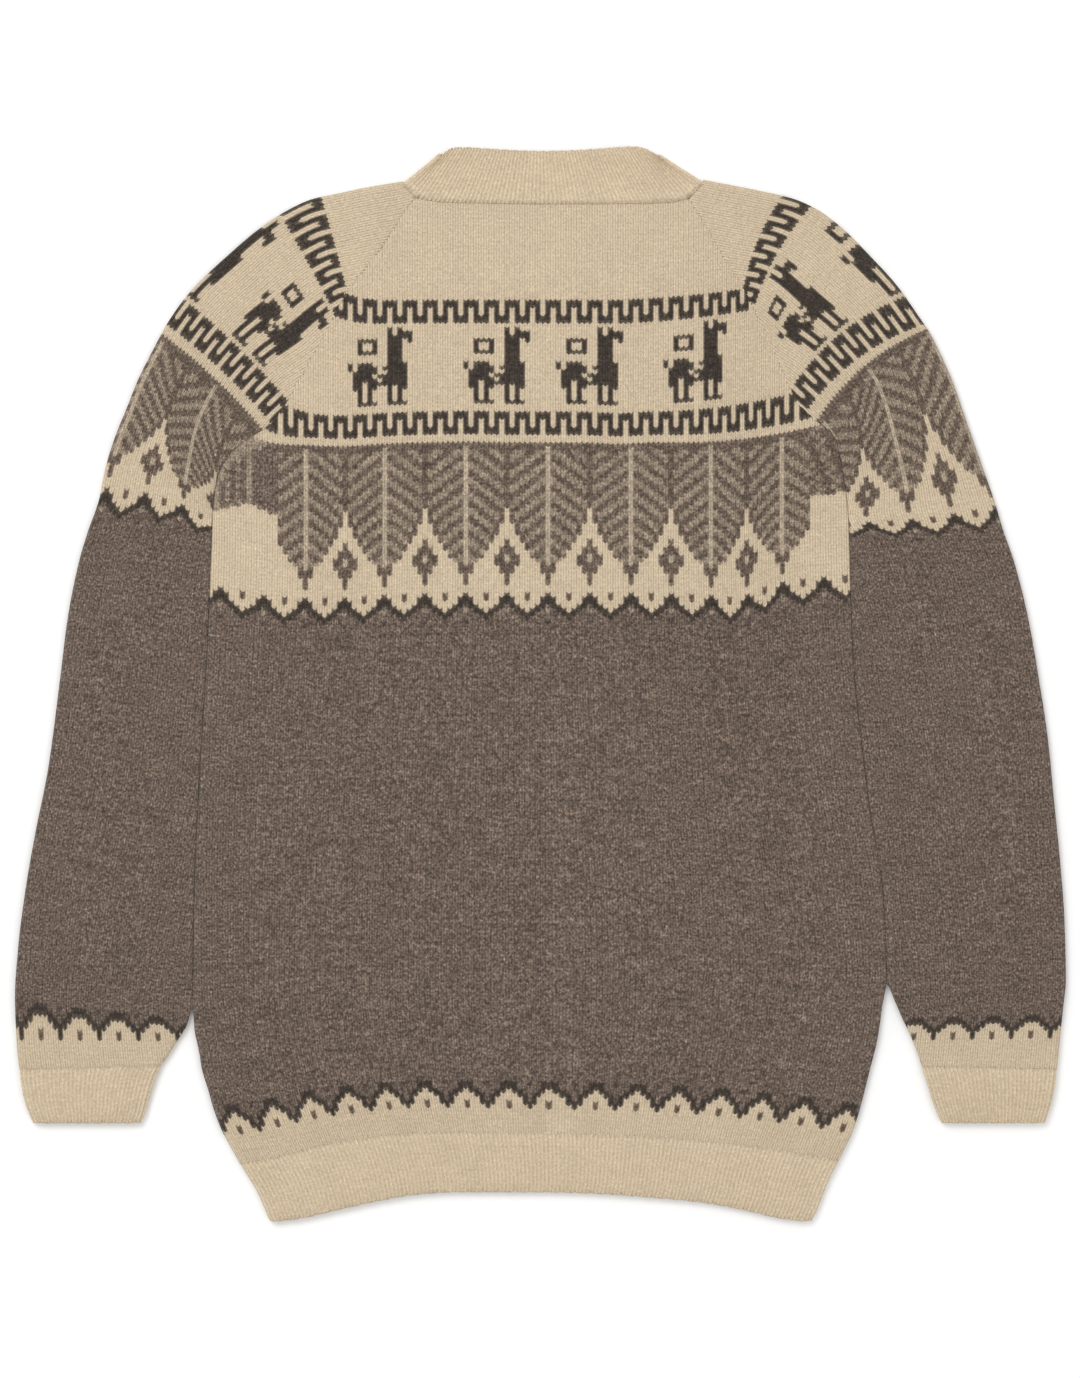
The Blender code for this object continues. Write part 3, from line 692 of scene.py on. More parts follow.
def relief_tree():
    """Raises the two legs of every stitch out of the wall, along the wall's normal."""
    tree = bpy.data.node_groups.new("Knit relief", "GeometryNodeTree")
    sockets = (
        # name, kind, value
        ("Geometry", "Geometry", None), ("Depth", "Float", STITCH_DEPTH * MM), ("Centre Level", "Float", 0.5),
        ("Rib", "Float", 0.0), ("Unevenness", "Float", 0.25), ("Seed", "Float", 3.0),
        ("Wool", "Material", None),
    )
    for title, kind, value in sockets:
        socket = tree.interface.new_socket(title, in_out="INPUT", socket_type="NodeSocket" + kind)
        if value is not None:
            socket.default_value = value
    tree.interface.new_socket("Geometry", in_out="OUTPUT", socket_type="NodeSocketGeometry")
    add, maths = tree_tools(tree)
    source = add("NodeGroupInput").outputs
    stitch = add("GeometryNodeInputNamedAttribute", {"Name": "stitch"}, data_type="FLOAT_VECTOR")
    split = add("ShaderNodeSeparateXYZ", {0: stitch.outputs["Attribute"]}).outputs
    from_middle = maths("ABSOLUTE", maths("SUBTRACT", maths("FRACT", split["X"]), 0.5))
    leg = maths("MULTIPLY", from_middle, 2.0)
    crown = maths("SINE", maths("MULTIPLY", leg, math.pi))
    inward = maths("SUBTRACT", 1.0, leg)
    middle = maths("MULTIPLY", maths("MULTIPLY", inward, inward), source["Centre Level"])
    plain = maths("MULTIPLY", maths("ADD", crown, middle), maths("SUBTRACT", 1.0, source["Rib"]))
    wale = maths("MULTIPLY", inward, source["Rib"])
    noise = add("ShaderNodeTexNoise", {"Scale": 260.0, "W": source["Seed"]}, noise_dimensions="4D")
    uneven = maths("MULTIPLY", maths("SUBTRACT", noise.outputs[0], 0.5), source["Unevenness"])
    profile = maths("ADD", maths("ADD", plain, wale), uneven)
    rise = maths("MULTIPLY", maths("MULTIPLY", profile, source["Depth"]), split["Z"])
    normal = add("GeometryNodeInputNormal").outputs[0]
    offset = add("ShaderNodeVectorMath", {0: normal, "Scale": rise}, operation="SCALE").outputs[0]
    move = add("GeometryNodeSetPosition", {"Geometry": source["Geometry"], "Offset": offset})
    realize = add("GeometryNodeRealizeInstances", {0: move.outputs[0]})
    finish = add("GeometryNodeSetMaterial", {"Geometry": realize.outputs[0], "Material": source["Wool"]})
    add("NodeGroupOutput", {0: finish.outputs[0]})
    return tree


FIBRE_SCALE = 1300.0
HEATHER_SCALE = 640.0
BLOTCH_SCALE = 45.0
STREAK_SCALE = (0.16, 0.7, 0.0)     # per stitch and per row, so that streaks run along the rows
BUMP_DEPTH = 0.0007


def wool_material(name, rib):
    """Hairy, matt alpaca: the yarn's colour mottled by its fibres, with each stitch's legs in the bump, and
    painted shade that darkens the colour in the grooves between the legs, the wales and the rows.
    """
    material = bpy.data.materials.new(name)
    material.use_nodes = True
    tree = material.node_tree
    add, maths = tree_tools(tree)

    def noise(vector, scale, detail):
        """Noise that swings about nought."""
        node = add("ShaderNodeTexNoise", {"Scale": scale, "Detail": detail, "Vector": vector})
        return maths("SUBTRACT", node.outputs[0], 0.5)

    stitches = add("ShaderNodeUVMap", uv_map="Stitches").outputs[0]
    split = add("ShaderNodeSeparateXYZ", {0: stitches}).outputs
    from_middle = maths("ABSOLUTE", maths("SUBTRACT", maths("FRACT", split["X"]), 0.5))
    leg = maths("MULTIPLY", from_middle, 2.0)
    inward = maths("SUBTRACT", 1.0, leg)
    crown = inward if rib else maths("SINE", maths("MULTIPLY", leg, math.pi))
    loop = maths("FRACT", maths("SUBTRACT", split["Y"], maths("MULTIPLY", inward, 0.5)))
    length = maths("SINE", maths("MULTIPLY", loop, math.pi))
    body = maths("MULTIPLY", crown, maths("ADD", maths("MULTIPLY", length, 0.5), 0.5))
    place = add("ShaderNodeTexCoord").outputs["Object"]
    fibre = noise(place, FIBRE_SCALE, 2.0)
    heather = noise(place, HEATHER_SCALE, 3.0)
    blotch = noise(place, BLOTCH_SCALE, 3.0)
    drawn_out = add("ShaderNodeVectorMath", {0: stitches, 1: STREAK_SCALE}, operation="MULTIPLY")
    streak = noise(drawn_out.outputs[0], 1.0, 3.0)
    height = maths("ADD", body, maths("MULTIPLY", fibre, 0.9))
    bump = add("ShaderNodeBump", {"Strength": 0.8, "Distance": BUMP_DEPTH, "Height": height})
    yarn = add("ShaderNodeVertexColor", layer_name="yarn").outputs
    mottle = maths("ADD", maths("MULTIPLY", heather, 4.0), maths("MULTIPLY", streak, 0.8))
    mottle = maths("EXPONENT", maths("MULTIPLY", mottle, yarn["Alpha"]))
    patch = maths("ADD", maths("MULTIPLY", blotch, 0.12), 1.0)
    # Painted shade: the yarn colour is darkened where the stitch profile is low, in the grooves between legs,
    # wales and rows, in place of the shade that falls there; the rib's higher base only evens its brightness
    # with the plain knitting.
    painted_groove_shade = maths("ADD", maths("MULTIPLY", body, 0.25), 0.94 if rib else 0.87)
    factor = maths("MULTIPLY", maths("MULTIPLY", painted_groove_shade, mottle), patch)
    tint = add("ShaderNodeVectorMath", {0: yarn["Color"], "Scale": factor}, operation="SCALE")
    fill_inputs(tree, tree.nodes["Principled BSDF"], {
        "Base Color": tint.outputs[0], "Normal": bump.outputs[0], "Roughness": 0.95,
        "Specular IOR Level": 0.15, "Sheen Weight": 0.2, "Sheen Roughness": 0.5,
        "Sheen Tint": (0.95, 0.9, 0.82, 1.0),
    })
    return material


RELIEF = relief_tree()
WOOL = wool_material("Alpaca stocking stitch", False)


def knitted_piece(name, mesh, material, depth, centre_level, rib=0.0):
    """Runs the relief over a mesh and returns it as a plain mesh object with its material."""
    obj = bpy.data.objects.new(name, mesh)
    bpy.context.scene.collection.objects.link(obj)
    modifier = obj.modifiers.new("Knit relief", "NODES")
    modifier.node_group = RELIEF
    values = {"Depth": depth * MM, "Centre Level": centre_level, "Rib": rib, "Wool": material}
    for item in RELIEF.interface.items_tree:
        if item.in_out == "INPUT" and item.name in values:
            modifier[item.identifier] = values[item.name]
    graph = bpy.context.evaluated_depsgraph_get()
    result = bpy.data.meshes.new_from_object(obj.evaluated_get(graph), depsgraph=graph)
    obj.modifiers.clear()
    obj.data = result
    result.name = name
    return obj


def body_point(upper):
    """Places on a body panel, the upper or the lower one."""
    def place(stitch, row, outer):
        x, y = body_place(stitch, row)
        left = smooth(BODY_LEFT_EDGE, y) + seam_gap(y)
        right = smooth(BODY_RIGHT_EDGE, y) - seam_gap(y)
        x = np.clip(x, left, right)
        distance = np.minimum(x - left, right - x)
        seam = closed_seam(y)
        raised = 1 - seam * (1 - ramp(distance, EDGE_PLAIN, EDGE_ROLL))
        if upper:
            high, low = upper_heights(x, y, distance, seam)
            across = 2 * (x - left) / (right - left) - 1
            dome = BODY_DOME * (1 - across ** 4) * ramp(row, *DOME_TOP_ROWS)
            dome = dome * (1 - ramp(row, *DOME_BOTTOM_ROWS))
            z = high + dome - SINK if outer else low + dome
        else:
            high, low = lower_heights(distance, seam)
            z = high + UNDER_SINK if outer else low
        return np.stack([x, y, z, raised], axis=-1)
    return place


def inner_steps(first, last, step):
    """Places for the wall's plain inner side, with the last one whatever the step."""
    return np.unique(np.concatenate([np.arange(first, last, step), [last]]))


def panel_mesh(name, rows, limits_at, columns_between, place, yarn_of, seed):
    """A panel between two rows, cut at each row's limits, with the columns for both of its sides."""
    rows = np.arange(rows[0], rows[1] + 1)
    inner_rows = inner_steps(rows[0], rows[-1], 4)
    limits = np.array([limits_at(row) for row in rows])
    inner_limits = np.array([limits_at(row) for row in inner_rows])
    columns, inner_columns = columns_between(math.floor(limits[:, 0].min()), math.ceil(limits[:, 1].max()))
    return knit_mesh(name, (columns, rows, limits), (inner_columns, inner_rows, inner_limits),
                     place, yarn_of, seed)


def body_span(name, first_row, last_row, upper, yarn_of, seed, facets):
    """A panel of the body between two rows, with some facets across each stitch of its outer side."""
    def columns_between(low, high):
        return np.arange(low, high + 0.001, 1 / facets), np.arange(low, high + 0.001, 5)
    return panel_mesh(name, (first_row, last_row), body_limits, columns_between, body_point(upper),
                      yarn_of, seed)


back_yoke_mesh = body_span("back_yoke", 0, YOKE_ROWS, True, back_yarn, 11, 4)
back_yoke = knitted_piece("back_yoke", back_yoke_mesh, WOOL, STITCH_DEPTH, 0.5)
back_body_mesh = body_span("back_body", YOKE_ROWS, BODY_ROWS, True, back_yarn, 12, 4)
back_body = knitted_piece("back_body", back_body_mesh, WOOL, STITCH_DEPTH, 0.5)
for piece, width, length, area in ((back_yoke, 0.43, 0.292, 0.098), (back_body, 0.462, 0.352, 0.155)):
    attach(piece, "root")
    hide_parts("back")

# Front panel
# The other side of the pullover's body, made alike. It lies under the back, with its right side on the
# ground.

def front_yarn(stitch, row):
    """The yoke's pattern runs on round the body, so from above it is the back's, turned left to right."""
    return back_yarn(-stitch, row)


front_mesh = body_span("front_panel", 0, BODY_ROWS, False, front_yarn, 13, 2)
front = knitted_piece("front_panel", front_mesh, WOOL, STITCH_DEPTH, 0.0)
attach(front, "root")
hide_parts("front")

# Sleeves
# Two tapering tubes of the same stitch that join the body along the raglans. Laid flat, each is folded
# along its outer edge and lies beside the body.

LEFT_SLEEVE_INNER_EDGE = (
    # y, x, below the parting from the body
    (-216, -233), (-229, -237), (-236, -242), (-243, -246), (-249, -250), (-256, -255), (-263, -258),
    (-269, -260), (-276, -262), (-283, -264), (-291, -267),
)
RIGHT_SLEEVE_INNER_EDGE = (
    # y, x
    (-199, 232), (-209, 236), (-216, 239), (-223, 242), (-229, 245), (-236, 248), (-243, 251),
    (-249, 253), (-263, 258), (-276, 262), (-291, 268),
)
# Outer fold of each sleeve, by the height at which a straight section starts on the inner edge
LEFT_SLEEVE_FOLD = (
    # seam_y, fold_x, fold_y
    (326, -92, 336), (303, -116, 332), (283, -135, 328), (259, -153, 324), (243, -170, 316),
    (224, -188, 304), (204, -208, 287), (185, -232, 264), (168, -247, 244), (157, -258, 224),
    (144, -268, 204), (131, -276, 184), (121, -284, 164), (111, -290, 144), (103, -294, 124),
    (92, -301, 104), (74, -307, 84), (37, -315, 44), (-1, -320, 4), (-57, -328, -56), (-96, -336, -96),
    (-137, -343, -136), (-177, -348, -176), (-216, -350, -209), (-233, -349, -236), (-254, -347, -256),
    (-273, -344, -275), (-291, -338, -291),
)
RIGHT_SLEEVE_FOLD = (
    # seam_y, fold_x, fold_y
    (324, 109, 337), (303, 130, 333), (283, 150, 329), (264, 170, 324), (249, 185, 317), (231, 202, 304),
    (211, 219, 287), (193, 238, 266), (177, 252, 246), (164, 260, 234), (154, 265, 224), (141, 274, 204),
    (127, 281, 184), (117, 288, 164), (107, 295, 144), (97, 302, 124), (87, 308, 104), (71, 315, 84),
    (36, 325, 44), (-3, 332, 4), (-39, 338, -36), (-77, 342, -76), (-116, 346, -116), (-156, 349, -156),
    (-198, 350, -196), (-216, 348, -216), (-235, 346, -236), (-254, 344, -256), (-273, 341, -275),
    (-291, 336, -291),
)
SLEEVE_ROWS = 250
# Where a row of knitting starts on the inner edge, and the section of the fold at which it ends
LEFT_ROW_ENDS = (
    # row, inner_y, fold_seam_y
    (0, 326.5, 326.5), (25, 263.4, 268.7), (31, 248.9, 240.5), (51, 198.8, 187.2), (54, 191.2, 179.9),
    (60, 176, 166.5), (63, 169, 161.5), (80, 140, 135.5), (92, 123.5, 119), (101, 111.4, 106.8),
    (109, 97, 95), (242, -236, -232.2), (250, -254, -254),
)
RIGHT_ROW_ENDS = (
    # row, inner_y, fold_seam_y
    (0, 325.5, 325.5), (25, 265.9, 273), (31, 252.2, 254.5), (51, 205.5, 195), (54, 198.5, 188.6),
    (60, 183.5, 172.3), (63, 174.8, 167), (80, 147, 129), (92, 126, 108.5), (101, 109.5, 95.5),
    (109, 98, 86), (242, -235.5, -233), (250, -254, -254),
)
SLEEVE_STITCH_WIDTH = (
    # row, left_width, right_width
    (0, 3.33, 3.33), (40, 3.33, 3.33), (55, 3.07, 3.07), (66, 2.87, 2.87), (80, 3.0, 3.0),
    (92, 3.14, 3.25), (100, 3.23, 3.55), (115, 3.33, 3.5), (150, 3.47, 3.47), (200, 3.45, 3.45),
    (236, 3.25, 3.25), (250, 3.25, 3.25),
)
# How far a row bends upwards between its two ends
SLEEVE_BOW = (
    # row, left_bow, right_bow
    (0, 0, 0), (15, 0, 2), (28, 0.5, 4), (57, 2.5, 8), (76, 4, 5), (101, 5, -2.5), (125, 2.5, -1),
    (160, 0, 0), (250, 0, 0),
)
FOLD_RADIUS = UPPER_OUTER / 2
FOLD_QUARTER = FOLD_RADIUS * math.pi / 2
FOLD_EXTRA = FOLD_QUARTER - FOLD_RADIUS
FOLD_SETTLE = 18        # width beside the fold over which the creases fade out


def sleeve_column(side):
    """The column of a table of both sleeves that holds the left or the right one."""
    return 1 if side < 0 else 2


def sleeve_inner_x(side, y):
    """The inner edge of a sleeve: beside the body down to the parting, and its own line below it."""
    body_edge = BODY_LEFT_EDGE if side < 0 else BODY_RIGHT_EDGE
    own_edge = LEFT_SLEEVE_INNER_EDGE if side < 0 else RIGHT_SLEEVE_INNER_EDGE
    x = np.where(y > own_edge[0][0], smooth(body_edge, y), smooth(own_edge, y))
    return x + side * seam_gap(y)


def sleeve_ends(side, row):
    """Both coordinates of a row's inner end and of its outer end at the fold, and the row's length."""
    ends = LEFT_ROW_ENDS if side < 0 else RIGHT_ROW_ENDS
    fold = LEFT_SLEEVE_FOLD if side < 0 else RIGHT_SLEEVE_FOLD
    inner_y = smooth(column(ends, 1), row)
    inner_x = sleeve_inner_x(side, inner_y)
    seam_y = smooth(column(ends, 2), row)
    fold_x = smooth(column(fold, 1), seam_y)
    fold_y = smooth(column(fold, 2), seam_y)
    return inner_x, inner_y, fold_x, fold_y, np.hypot(fold_x - inner_x, fold_y - inner_y)


def sleeve_stitch_width(side, row):
    return smooth(column(SLEEVE_STITCH_WIDTH, sleeve_column(side)), row)


def sleeve_limits(side, row):
    """The first and last stitch of a row of a sleeve, counted from its fold to the right."""
    length = sleeve_ends(side, float(row))[4]
    width = sleeve_stitch_width(side, float(row))
    top = 0.5 + length / width
    under = 0.5 - (length + 2 * FOLD_EXTRA) / width
    return (under, top) if side < 0 else (1 - top, 1 - under)


def sleeve_point(side):
    """Places on a sleeve: on top, round the fold, and back underneath."""
    def place(stitch, row, outer):
        count = stitch if side < 0 else 1 - stitch
        run = (count - 0.5) * sleeve_stitch_width(side, row) + FOLD_EXTRA
        inner_x, inner_y, fold_x, fold_y, length = sleeve_ends(side, row)
        angle = np.clip(run / FOLD_RADIUS, -math.pi / 2, math.pi / 2)
        turned = FOLD_RADIUS if outer else FOLD_RADIUS - WALL
        flat = np.clip(np.abs(run) - FOLD_QUARTER, 0, length - FOLD_RADIUS)
        from_fold = FOLD_RADIUS + flat - turned * np.cos(angle)
        from_seam = np.clip(length - from_fold, 0, length)
        share = from_seam / length
        heading_x = (fold_x - inner_x) / length
        heading_y = (fold_y - inner_y) / length
        bow = 4 * share * (1 - share) * smooth(column(SLEEVE_BOW, sleeve_column(side)), row)
        x = inner_x + heading_x * from_seam - side * heading_y * bow
        y = inner_y + heading_y * from_seam + side * heading_x * bow
        seam = closed_seam(inner_y)
        on_top = run > 0
        high, low = upper_heights(x, y, from_seam, seam)
        settle = np.where(from_seam > EDGE_ROLL, np.clip(flat / FOLD_SETTLE, 0, 1), 1)
        high = UPPER_OUTER + (high - UPPER_OUTER) * settle
        low = UPPER_OUTER - WALL + (low - UPPER_OUTER + WALL) * settle
        under_high, under_low = lower_heights(from_seam, seam)
        turn_z = FOLD_RADIUS + turned * np.sin(angle)
        if outer:
            flat_z = np.where(on_top, high - SINK, under_high + UNDER_SINK)
            shrink = np.where(on_top, SINK, UNDER_SINK)
            turn_z = turn_z - shrink * np.sin(angle)
        else:
            flat_z = np.where(on_top, low, under_low)
        z = np.where(flat > 0, flat_z, turn_z)
        raised = 1 - seam * (1 - ramp(from_seam, EDGE_PLAIN, EDGE_ROLL))
        return np.stack([x, y, z, raised], axis=-1)
    return place


SLEEVE_LLAMA_ROWS = 21
CUFF_PEAK_ROW = 236


def sleeve_yarn(spine, starts, peak):
    """The pattern of a sleeve, with the stitches of a leaf's spine, of the llamas and of an arch's peak."""
    def yarn_of(stitch, row):
        border = (peak, CUFF_PEAK_ROW, CUFF_ARCH)
        return pattern_yarn(stitch, row, spine, starts, SLEEVE_LLAMA_ROWS, border)
    return yarn_of


def sleeve_mesh_of(name, side, yarn_of, seed):
    """A sleeve, with its columns twice as fine on top and round the fold as underneath."""
    def limits_at(row):
        return sleeve_limits(side, row)

    def columns_between(low, high):
        turn = -2 if side < 0 else 3
        steps = (0.5, 0.25) if side < 0 else (0.25, 0.5)
        columns = np.concatenate([np.arange(low, turn, steps[0]), np.arange(turn, high + 0.001, steps[1])])
        inner = np.concatenate([np.arange(low, high + 0.001, 4), np.arange(-2, 3.001, 0.25)])
        return columns, np.unique(inner)
    return panel_mesh(name, (0, SLEEVE_ROWS), limits_at, columns_between, sleeve_point(side), yarn_of, seed)


SLEEVE_SIDES = (
    # name, side, yarns, seed
    ("sleeve_left", -1, sleeve_yarn(1, (11, -9), 5), 21),
    ("sleeve_right", 1, sleeve_yarn(0, (-24, -4), 2), 22),
)
for sleeve_name, side, yarn_of, seed in SLEEVE_SIDES:
    sleeve_mesh = sleeve_mesh_of(sleeve_name + "_knit", side, yarn_of, seed)
    sleeve_object = knitted_piece(sleeve_name + "_knit", sleeve_mesh, WOOL, STITCH_DEPTH, 0.5)
    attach(sleeve_object, "root")
    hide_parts(sleeve_name)

# Hem ribs
# Two bands of single rib in cream, one below each body panel, that draw the hem in a little.

RIB_WALL = 2.6
RIB_DEPTH = 1.0         # relief of the wales
RIB_SINK = 0.3
RIB_UNDER_SINK = 1.1 * RIB_DEPTH
RIB_LAP = 0.4           # how far a rib reaches into the piece that it grows from
EDGE_PINCH = 0.8        # how much a free edge thins
UNDER_PINCH = 0.3 * EDGE_PINCH
HEM_BOTTOM_Y = -337
HEM_BOTTOM_DROOP = (
    # across, droop
    (-1.0, 20), (-0.9, 18), (-0.75, 12), (-0.6, 6), (-0.45, 1.5), (-0.3, 0), (0.0, 0), (0.2, 1),
    (0.4, 3.5), (0.6, 7), (0.75, 12), (0.9, 18), (1.0, 20),
)
HEM_WALES = 142
HEM_ROWS = 15
START_ROWS = 1.5        # rows over which the wales begin, and over which a free edge thins


def cream_yarn(stitch, row):
    return CREAM


def free_edge(row, rows):
    """1 at a rib's free edge, fading to 0 a little above it."""
    return ramp(row, rows - START_ROWS, rows)


def seam_fill(row):
    """How much higher the first row of a rib lies, where its wales begin in the plain knitting above."""
    return 0.5 * (1 - ramp(row, 0, START_ROWS))


def wale_start(row):
    """How far the wales of a row are raised, as a share of their full relief."""
    return 0.3 + 0.7 * ramp(row, 0, START_ROWS)


def rib_piece(name, wales, rows, columns, place, seed, ring=False):
    """A band or tube of rib, whose rows all run from the first wale to the last."""
    grids = []
    for side_columns, side_rows in zip(columns, (np.arange(0, rows + 1), inner_steps(0, rows, 3))):
        grids.append((side_columns, side_rows, np.array([(0, wales)] * len(side_rows), float)))
    mesh = knit_mesh(name, *grids, place, cream_yarn, seed, ring)
    return knitted_piece(name, mesh, RIB_WOOL, RIB_DEPTH, 0.5, 1.0)


def hem_point(upper):
    """Places on a hem rib, the upper or the lower one."""
    def place(stitch, row, outer):
        across = np.clip(2 * stitch / HEM_WALES - 1, -1, 1)
        top_y = RIB_TOP_Y - smooth(HEM_DROOP, across) + RIB_LAP
        bottom_y = HEM_BOTTOM_Y - smooth(HEM_BOTTOM_DROOP, across)
        share = np.clip(row / HEM_ROWS, 0, 1)
        y = top_y + (bottom_y - top_y) * share
        left_y = RIB_TOP_Y - LEFT_DROOP + (HEM_BOTTOM_Y - RIB_TOP_Y) * share
        right_y = RIB_TOP_Y - RIGHT_DROOP + (HEM_BOTTOM_Y - RIB_TOP_Y - LEFT_DROOP + RIGHT_DROOP) * share
        left = smooth(BODY_LEFT_EDGE, left_y) + SEAM_GAP
        right = smooth(BODY_RIGHT_EDGE, right_y) - SEAM_GAP
        x = left + (right - left) * (across + 1) / 2
        distance = np.minimum(x - left, right - x)
        raised = ramp(distance, EDGE_PLAIN, EDGE_ROLL) * wale_start(row)
        if upper:
            high, low = upper_heights(x, y, distance, 1.0)
            z = high - RIB_SINK - EDGE_PINCH * free_edge(row, HEM_ROWS) + seam_fill(row) if outer else low
        else:
            high, low = lower_heights(distance, 1.0)
            z = high + RIB_UNDER_SINK + UNDER_PINCH * free_edge(row, HEM_ROWS) if outer else low
        return np.stack([x, y, z, raised], axis=-1)
    return place


RIB_WOOL = wool_material("Alpaca rib", True)
HEM_SIDES = (
    # name, upper, seed
    ("hem_rib_back", True, 31),
    ("hem_rib_front", False, 32),
)
for hem_name, upper, seed in HEM_SIDES:
    hem_columns = np.arange(0, HEM_WALES + 0.001, 0.25 if upper else 0.5)
    inner_columns = inner_steps(0, HEM_WALES, 4).astype(float)
    hem_object = rib_piece(hem_name + "_knit", HEM_WALES, HEM_ROWS, (hem_columns, inner_columns),
                           hem_point(upper), seed)
    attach(hem_object, "root")
    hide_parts(hem_name)

# Cuffs
# A tube of the same single rib on each sleeve, lying flat.

CUFF_TOP_Y = -254
CUFF_BOTTOM_Y = -291
CUFF_WALES = 66
CUFF_ROWS = 14
TUBE_HEIGHT = 2 * RIB_WALL + LAYER_GAP
TUBE_RADIUS = TUBE_HEIGHT / 2


def tube_point(route_at, wales, rows):
    """Places on a flattened tube of rib whose middle line at each row is a route across the view."""
    def place(stitch, row, outer):
        share = stitch / wales
        start, end, length, point_at = route_at(row)
        quarter = TUBE_RADIUS * math.pi / 2
        around = 2 * (length - 2 * TUBE_RADIUS) + 4 * quarter
        run = share * around
        half = around / 2
        upper = run <= half
        along = np.where(upper, run, around - run)
        turned = TUBE_RADIUS if outer else TUBE_RADIUS - RIB_WALL
        left_turn = np.clip(along, 0, quarter) / TUBE_RADIUS
        right_turn = np.clip(half - along, 0, quarter) / TUBE_RADIUS
        flat = np.clip(along - quarter, 0, length - 2 * TUBE_RADIUS)
        middle = point_at((TUBE_RADIUS + flat) / length, row)
        reach = turned * (np.cos(right_turn) * (right_turn < math.pi / 2) * (along > quarter)
                          - np.cos(left_turn) * (along <= quarter))
        heading = end - start
        heading = heading / np.hypot(heading[..., 0], heading[..., 1])[..., None]
        plan = middle + heading * reach[..., None]
        swing = np.minimum(np.sin(left_turn), np.sin(right_turn))
        thinned = free_edge(row, rows)
        top_inset = RIB_SINK + EDGE_PINCH * thinned - seam_fill(row) if outer else 0.0
        under_inset = RIB_UNDER_SINK + UNDER_PINCH * thinned if outer else 0.0
        z_top = TUBE_RADIUS + swing * (turned - top_inset)
        z_under = TUBE_RADIUS - swing * (turned - under_inset)
        z = np.where(upper, z_top, z_under)
        raised = wale_start(row + 0 * z)
        return np.stack([plan[..., 0], plan[..., 1], z, raised], axis=-1)
    return place


def both_ends(point_at, row):
    """The two ends of a line across the view at a row."""
    return point_at(np.zeros(np.shape(row)), row), point_at(np.ones(np.shape(row)), row)


def cuff_route(side):
    """Ends, length and points of the line across a cuff at a row."""
    def point_at(share, row):
        level = np.clip(row / CUFF_ROWS, 0, 1)
        y = CUFF_TOP_Y + RIB_LAP + (CUFF_BOTTOM_Y - CUFF_TOP_Y - RIB_LAP) * level
        near_x = sleeve_inner_x(side, y)
        fold = LEFT_SLEEVE_FOLD if side < 0 else RIGHT_SLEEVE_FOLD
        far_x = smooth(column(fold, 1), y)
        far_y = np.minimum(smooth(column(fold, 2), y), y)
        share = share if side > 0 else 1 - share
        return np.stack([near_x + (far_x - near_x) * share, y + (far_y - y) * share], axis=-1)

    def route_at(row):
        start, end = both_ends(point_at, row)
        return start, end, np.hypot(end[..., 0] - start[..., 0], end[..., 1] - start[..., 1]), point_at
    return route_at


def rib_tube(name, route_at, wales, rows, seed):
    """A closed tube of rib, as a plain mesh object."""
    at_folds = ([0.5, 1, 1.5], wales / 2 + np.arange(-2, 2.1, 0.5), wales - np.array([0.5, 1, 1.5]))
    inner_columns = np.unique(np.concatenate([np.arange(0, wales + 0.001, 3), *at_folds]))
    columns = (np.arange(0, wales + 0.001, 0.25), inner_columns)
    return rib_piece(name, wales, rows, columns, tube_point(route_at, wales, rows), seed, True)


for cuff_name, side, seed in (("cuff_left", -1, 41), ("cuff_right", 1, 42)):
    cuff_object = rib_tube(cuff_name + "_knit", cuff_route(side), CUFF_WALES, CUFF_ROWS, seed)
    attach(cuff_object, "root")
    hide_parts(cuff_name)

# Collar
# A low stand collar of single rib, knitted on round the neckline and lying flat.

COLLAR_TOP = (
    # x, y
    (-66.5, 352), (-62, 356.5), (-57, 358.6), (-50, 358.6), (-35, 357.8), (-18, 356.8), (0, 356.2),
    (18, 356.5), (35, 357.4), (50, 358.6), (60, 359.2), (66, 358.9), (72, 356.8), (79.5, 351.8),
)
COLLAR_WALES = 148
COLLAR_ROWS = 13
COLLAR_SHARES = np.linspace(0, 1, 81)


def shares_along(points):
    """The share of a line's length at each of its points."""
    reach = np.concatenate([[0], np.cumsum(np.hypot(*np.diff(points, axis=0).T))])
    return reach / reach[-1]


def even_route(points):
    """Places at equal distances along a line of points."""
    points = np.array(points, float)
    share = shares_along(points)
    return np.stack([np.interp(COLLAR_SHARES, share, points[:, axis]) for axis in (0, 1)], axis=1)


def neckline():
    """The edge that the collar grows from: left sleeve, back and right sleeve."""
    seam = np.array([body_place(stitch, 0.0) for stitch in np.linspace(*body_limits(0), 40)])
    left = LEFT_SLEEVE_FOLD[0][1:]
    right = RIGHT_SLEEVE_FOLD[0][1:]
    line = even_route([left] + seam.tolist() + [right])
    heading = np.gradient(line, axis=0)
    heading = heading / np.hypot(heading[:, 0], heading[:, 1])[:, None]
    return line - np.stack([-heading[:, 1], heading[:, 0]], axis=1) * RIB_LAP


def collar_top():
    """The collar's free edge, by shares of its length."""
    top = np.array(COLLAR_TOP, float)
    share = shares_along(top)
    return np.stack([smooth(list(zip(share, top[:, axis])), COLLAR_SHARES) for axis in (0, 1)], axis=1)


COLLAR_BASE = neckline()
COLLAR_END = collar_top()


def collar_point_at(share, row):
    """A place between the neckline and the free edge."""
    level = np.clip(row / COLLAR_ROWS, 0, 1)
    share = np.clip(share, 0, 1)
    base = [np.interp(share, COLLAR_SHARES, COLLAR_BASE[:, axis]) for axis in (0, 1)]
    end = [np.interp(share, COLLAR_SHARES, COLLAR_END[:, axis]) for axis in (0, 1)]
    return np.stack([(1 - level) * base[axis] + level * end[axis] for axis in (0, 1)], axis=-1)


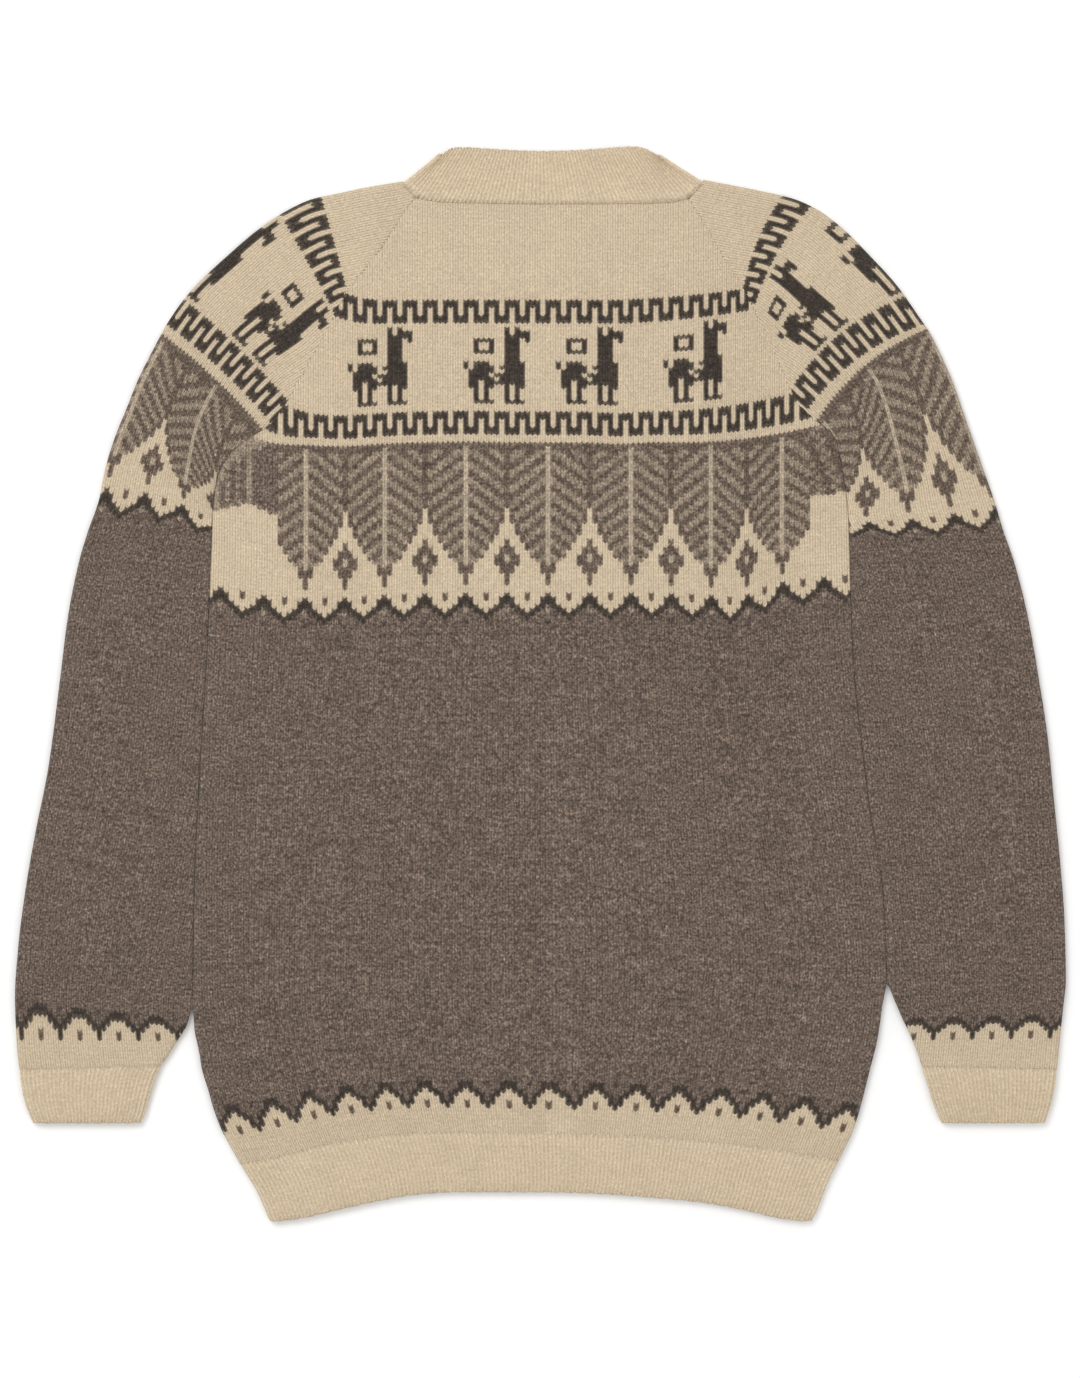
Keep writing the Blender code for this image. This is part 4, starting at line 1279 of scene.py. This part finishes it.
def collar_route(row):
    """Ends, length and points of the line across the collar at a row."""
    start, end = both_ends(collar_point_at, row)
    level = np.clip(row / COLLAR_ROWS, 0, 1)
    base_length = float(np.hypot(*np.diff(COLLAR_BASE, axis=0).T).sum())
    end_length = float(np.hypot(*np.diff(COLLAR_END, axis=0).T).sum())
    return start, end, base_length + (end_length - base_length) * level, collar_point_at


collar_object = rib_tube("collar_knit", collar_route, COLLAR_WALES, COLLAR_ROWS, 51)
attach(collar_object, "root")
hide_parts("collar")

# Floor
# A plain pale surface that the pullover lies on, wide enough to fill the view.

FLOOR_SIZE = 6.0
FLOOR_DROP = 0.0004

floor_mesh = bpy.data.meshes.new("floor")
half = FLOOR_SIZE / 2
floor_mesh.from_pydata(
    [(x * half, y * half, -FLOOR_DROP) for x, y in ((-1, -1), (1, -1), (1, 1), (-1, 1))],
    [], [(0, 1, 2, 3)],
)
floor = bpy.data.objects.new("floor", floor_mesh)
bpy.context.scene.collection.objects.link(floor)
floor_material = bpy.data.materials.new("Pale floor")
floor_material.use_nodes = True
floor_shader = floor_material.node_tree.nodes["Principled BSDF"]
floor_shader.inputs["Base Color"].default_value = (0.94, 0.94, 0.935, 1.0)
floor_shader.inputs["Roughness"].default_value = 0.9
floor_shader.inputs["Specular IOR Level"].default_value = 0.1
floor_mesh.materials.append(floor_material)

# Light
# Soft studio light: an even sky, a broad lamp over the neck and left shoulder, and a weaker one opposite.

world = bpy.data.worlds.new("Studio")
bpy.context.scene.world = world
world.use_nodes = True
world.node_tree.nodes["Background"].inputs["Color"].default_value = (1.0, 1.0, 1.0, 1.0)
world.node_tree.nodes["Background"].inputs["Strength"].default_value = 0.72

LAMPS = (
    # name, x, y, z, size, power
    ("key_lamp", -0.9, 1.1, 2.0, 1.2, 26.0),
    ("fill_lamp", 1.2, -0.6, 2.2, 1.6, 10.0),
)
for lamp_name, lamp_x, lamp_y, lamp_z, lamp_size, lamp_power in LAMPS:
    lamp_data = bpy.data.lights.new(lamp_name, "AREA")
    lamp_data.shape = "SQUARE"
    lamp_data.size = lamp_size
    lamp_data.energy = lamp_power
    lamp = bpy.data.objects.new(lamp_name, lamp_data)
    bpy.context.scene.collection.objects.link(lamp)
    lamp.location = (lamp_x, lamp_y, lamp_z)
    aim = lamp.location.normalized()
    lamp.rotation_euler = aim.to_track_quat("Z", "Y").to_euler()

# Camera
# Straight above the garment, with the hem towards the bottom of the image.

LENS_MM = 85.0
SENSOR_MM = 36.0
FRAME_HEIGHT = 0.9187
LOOK_AT = (-0.0003, -0.002)

camera_data = bpy.data.cameras.new("camera")
camera_data.lens = LENS_MM
camera_data.sensor_width = SENSOR_MM
camera_data.sensor_fit = "AUTO"
camera = bpy.data.objects.new("camera", camera_data)
bpy.context.scene.collection.objects.link(camera)
camera_height = FRAME_HEIGHT * LENS_MM / SENSOR_MM
camera.location = (LOOK_AT[0], LOOK_AT[1], camera_height + UPPER_OUTER * MM)
camera.rotation_euler = (0.0, 0.0, 0.0)
bpy.context.scene.camera = camera
bpy.context.scene.view_settings.view_transform = "Standard"
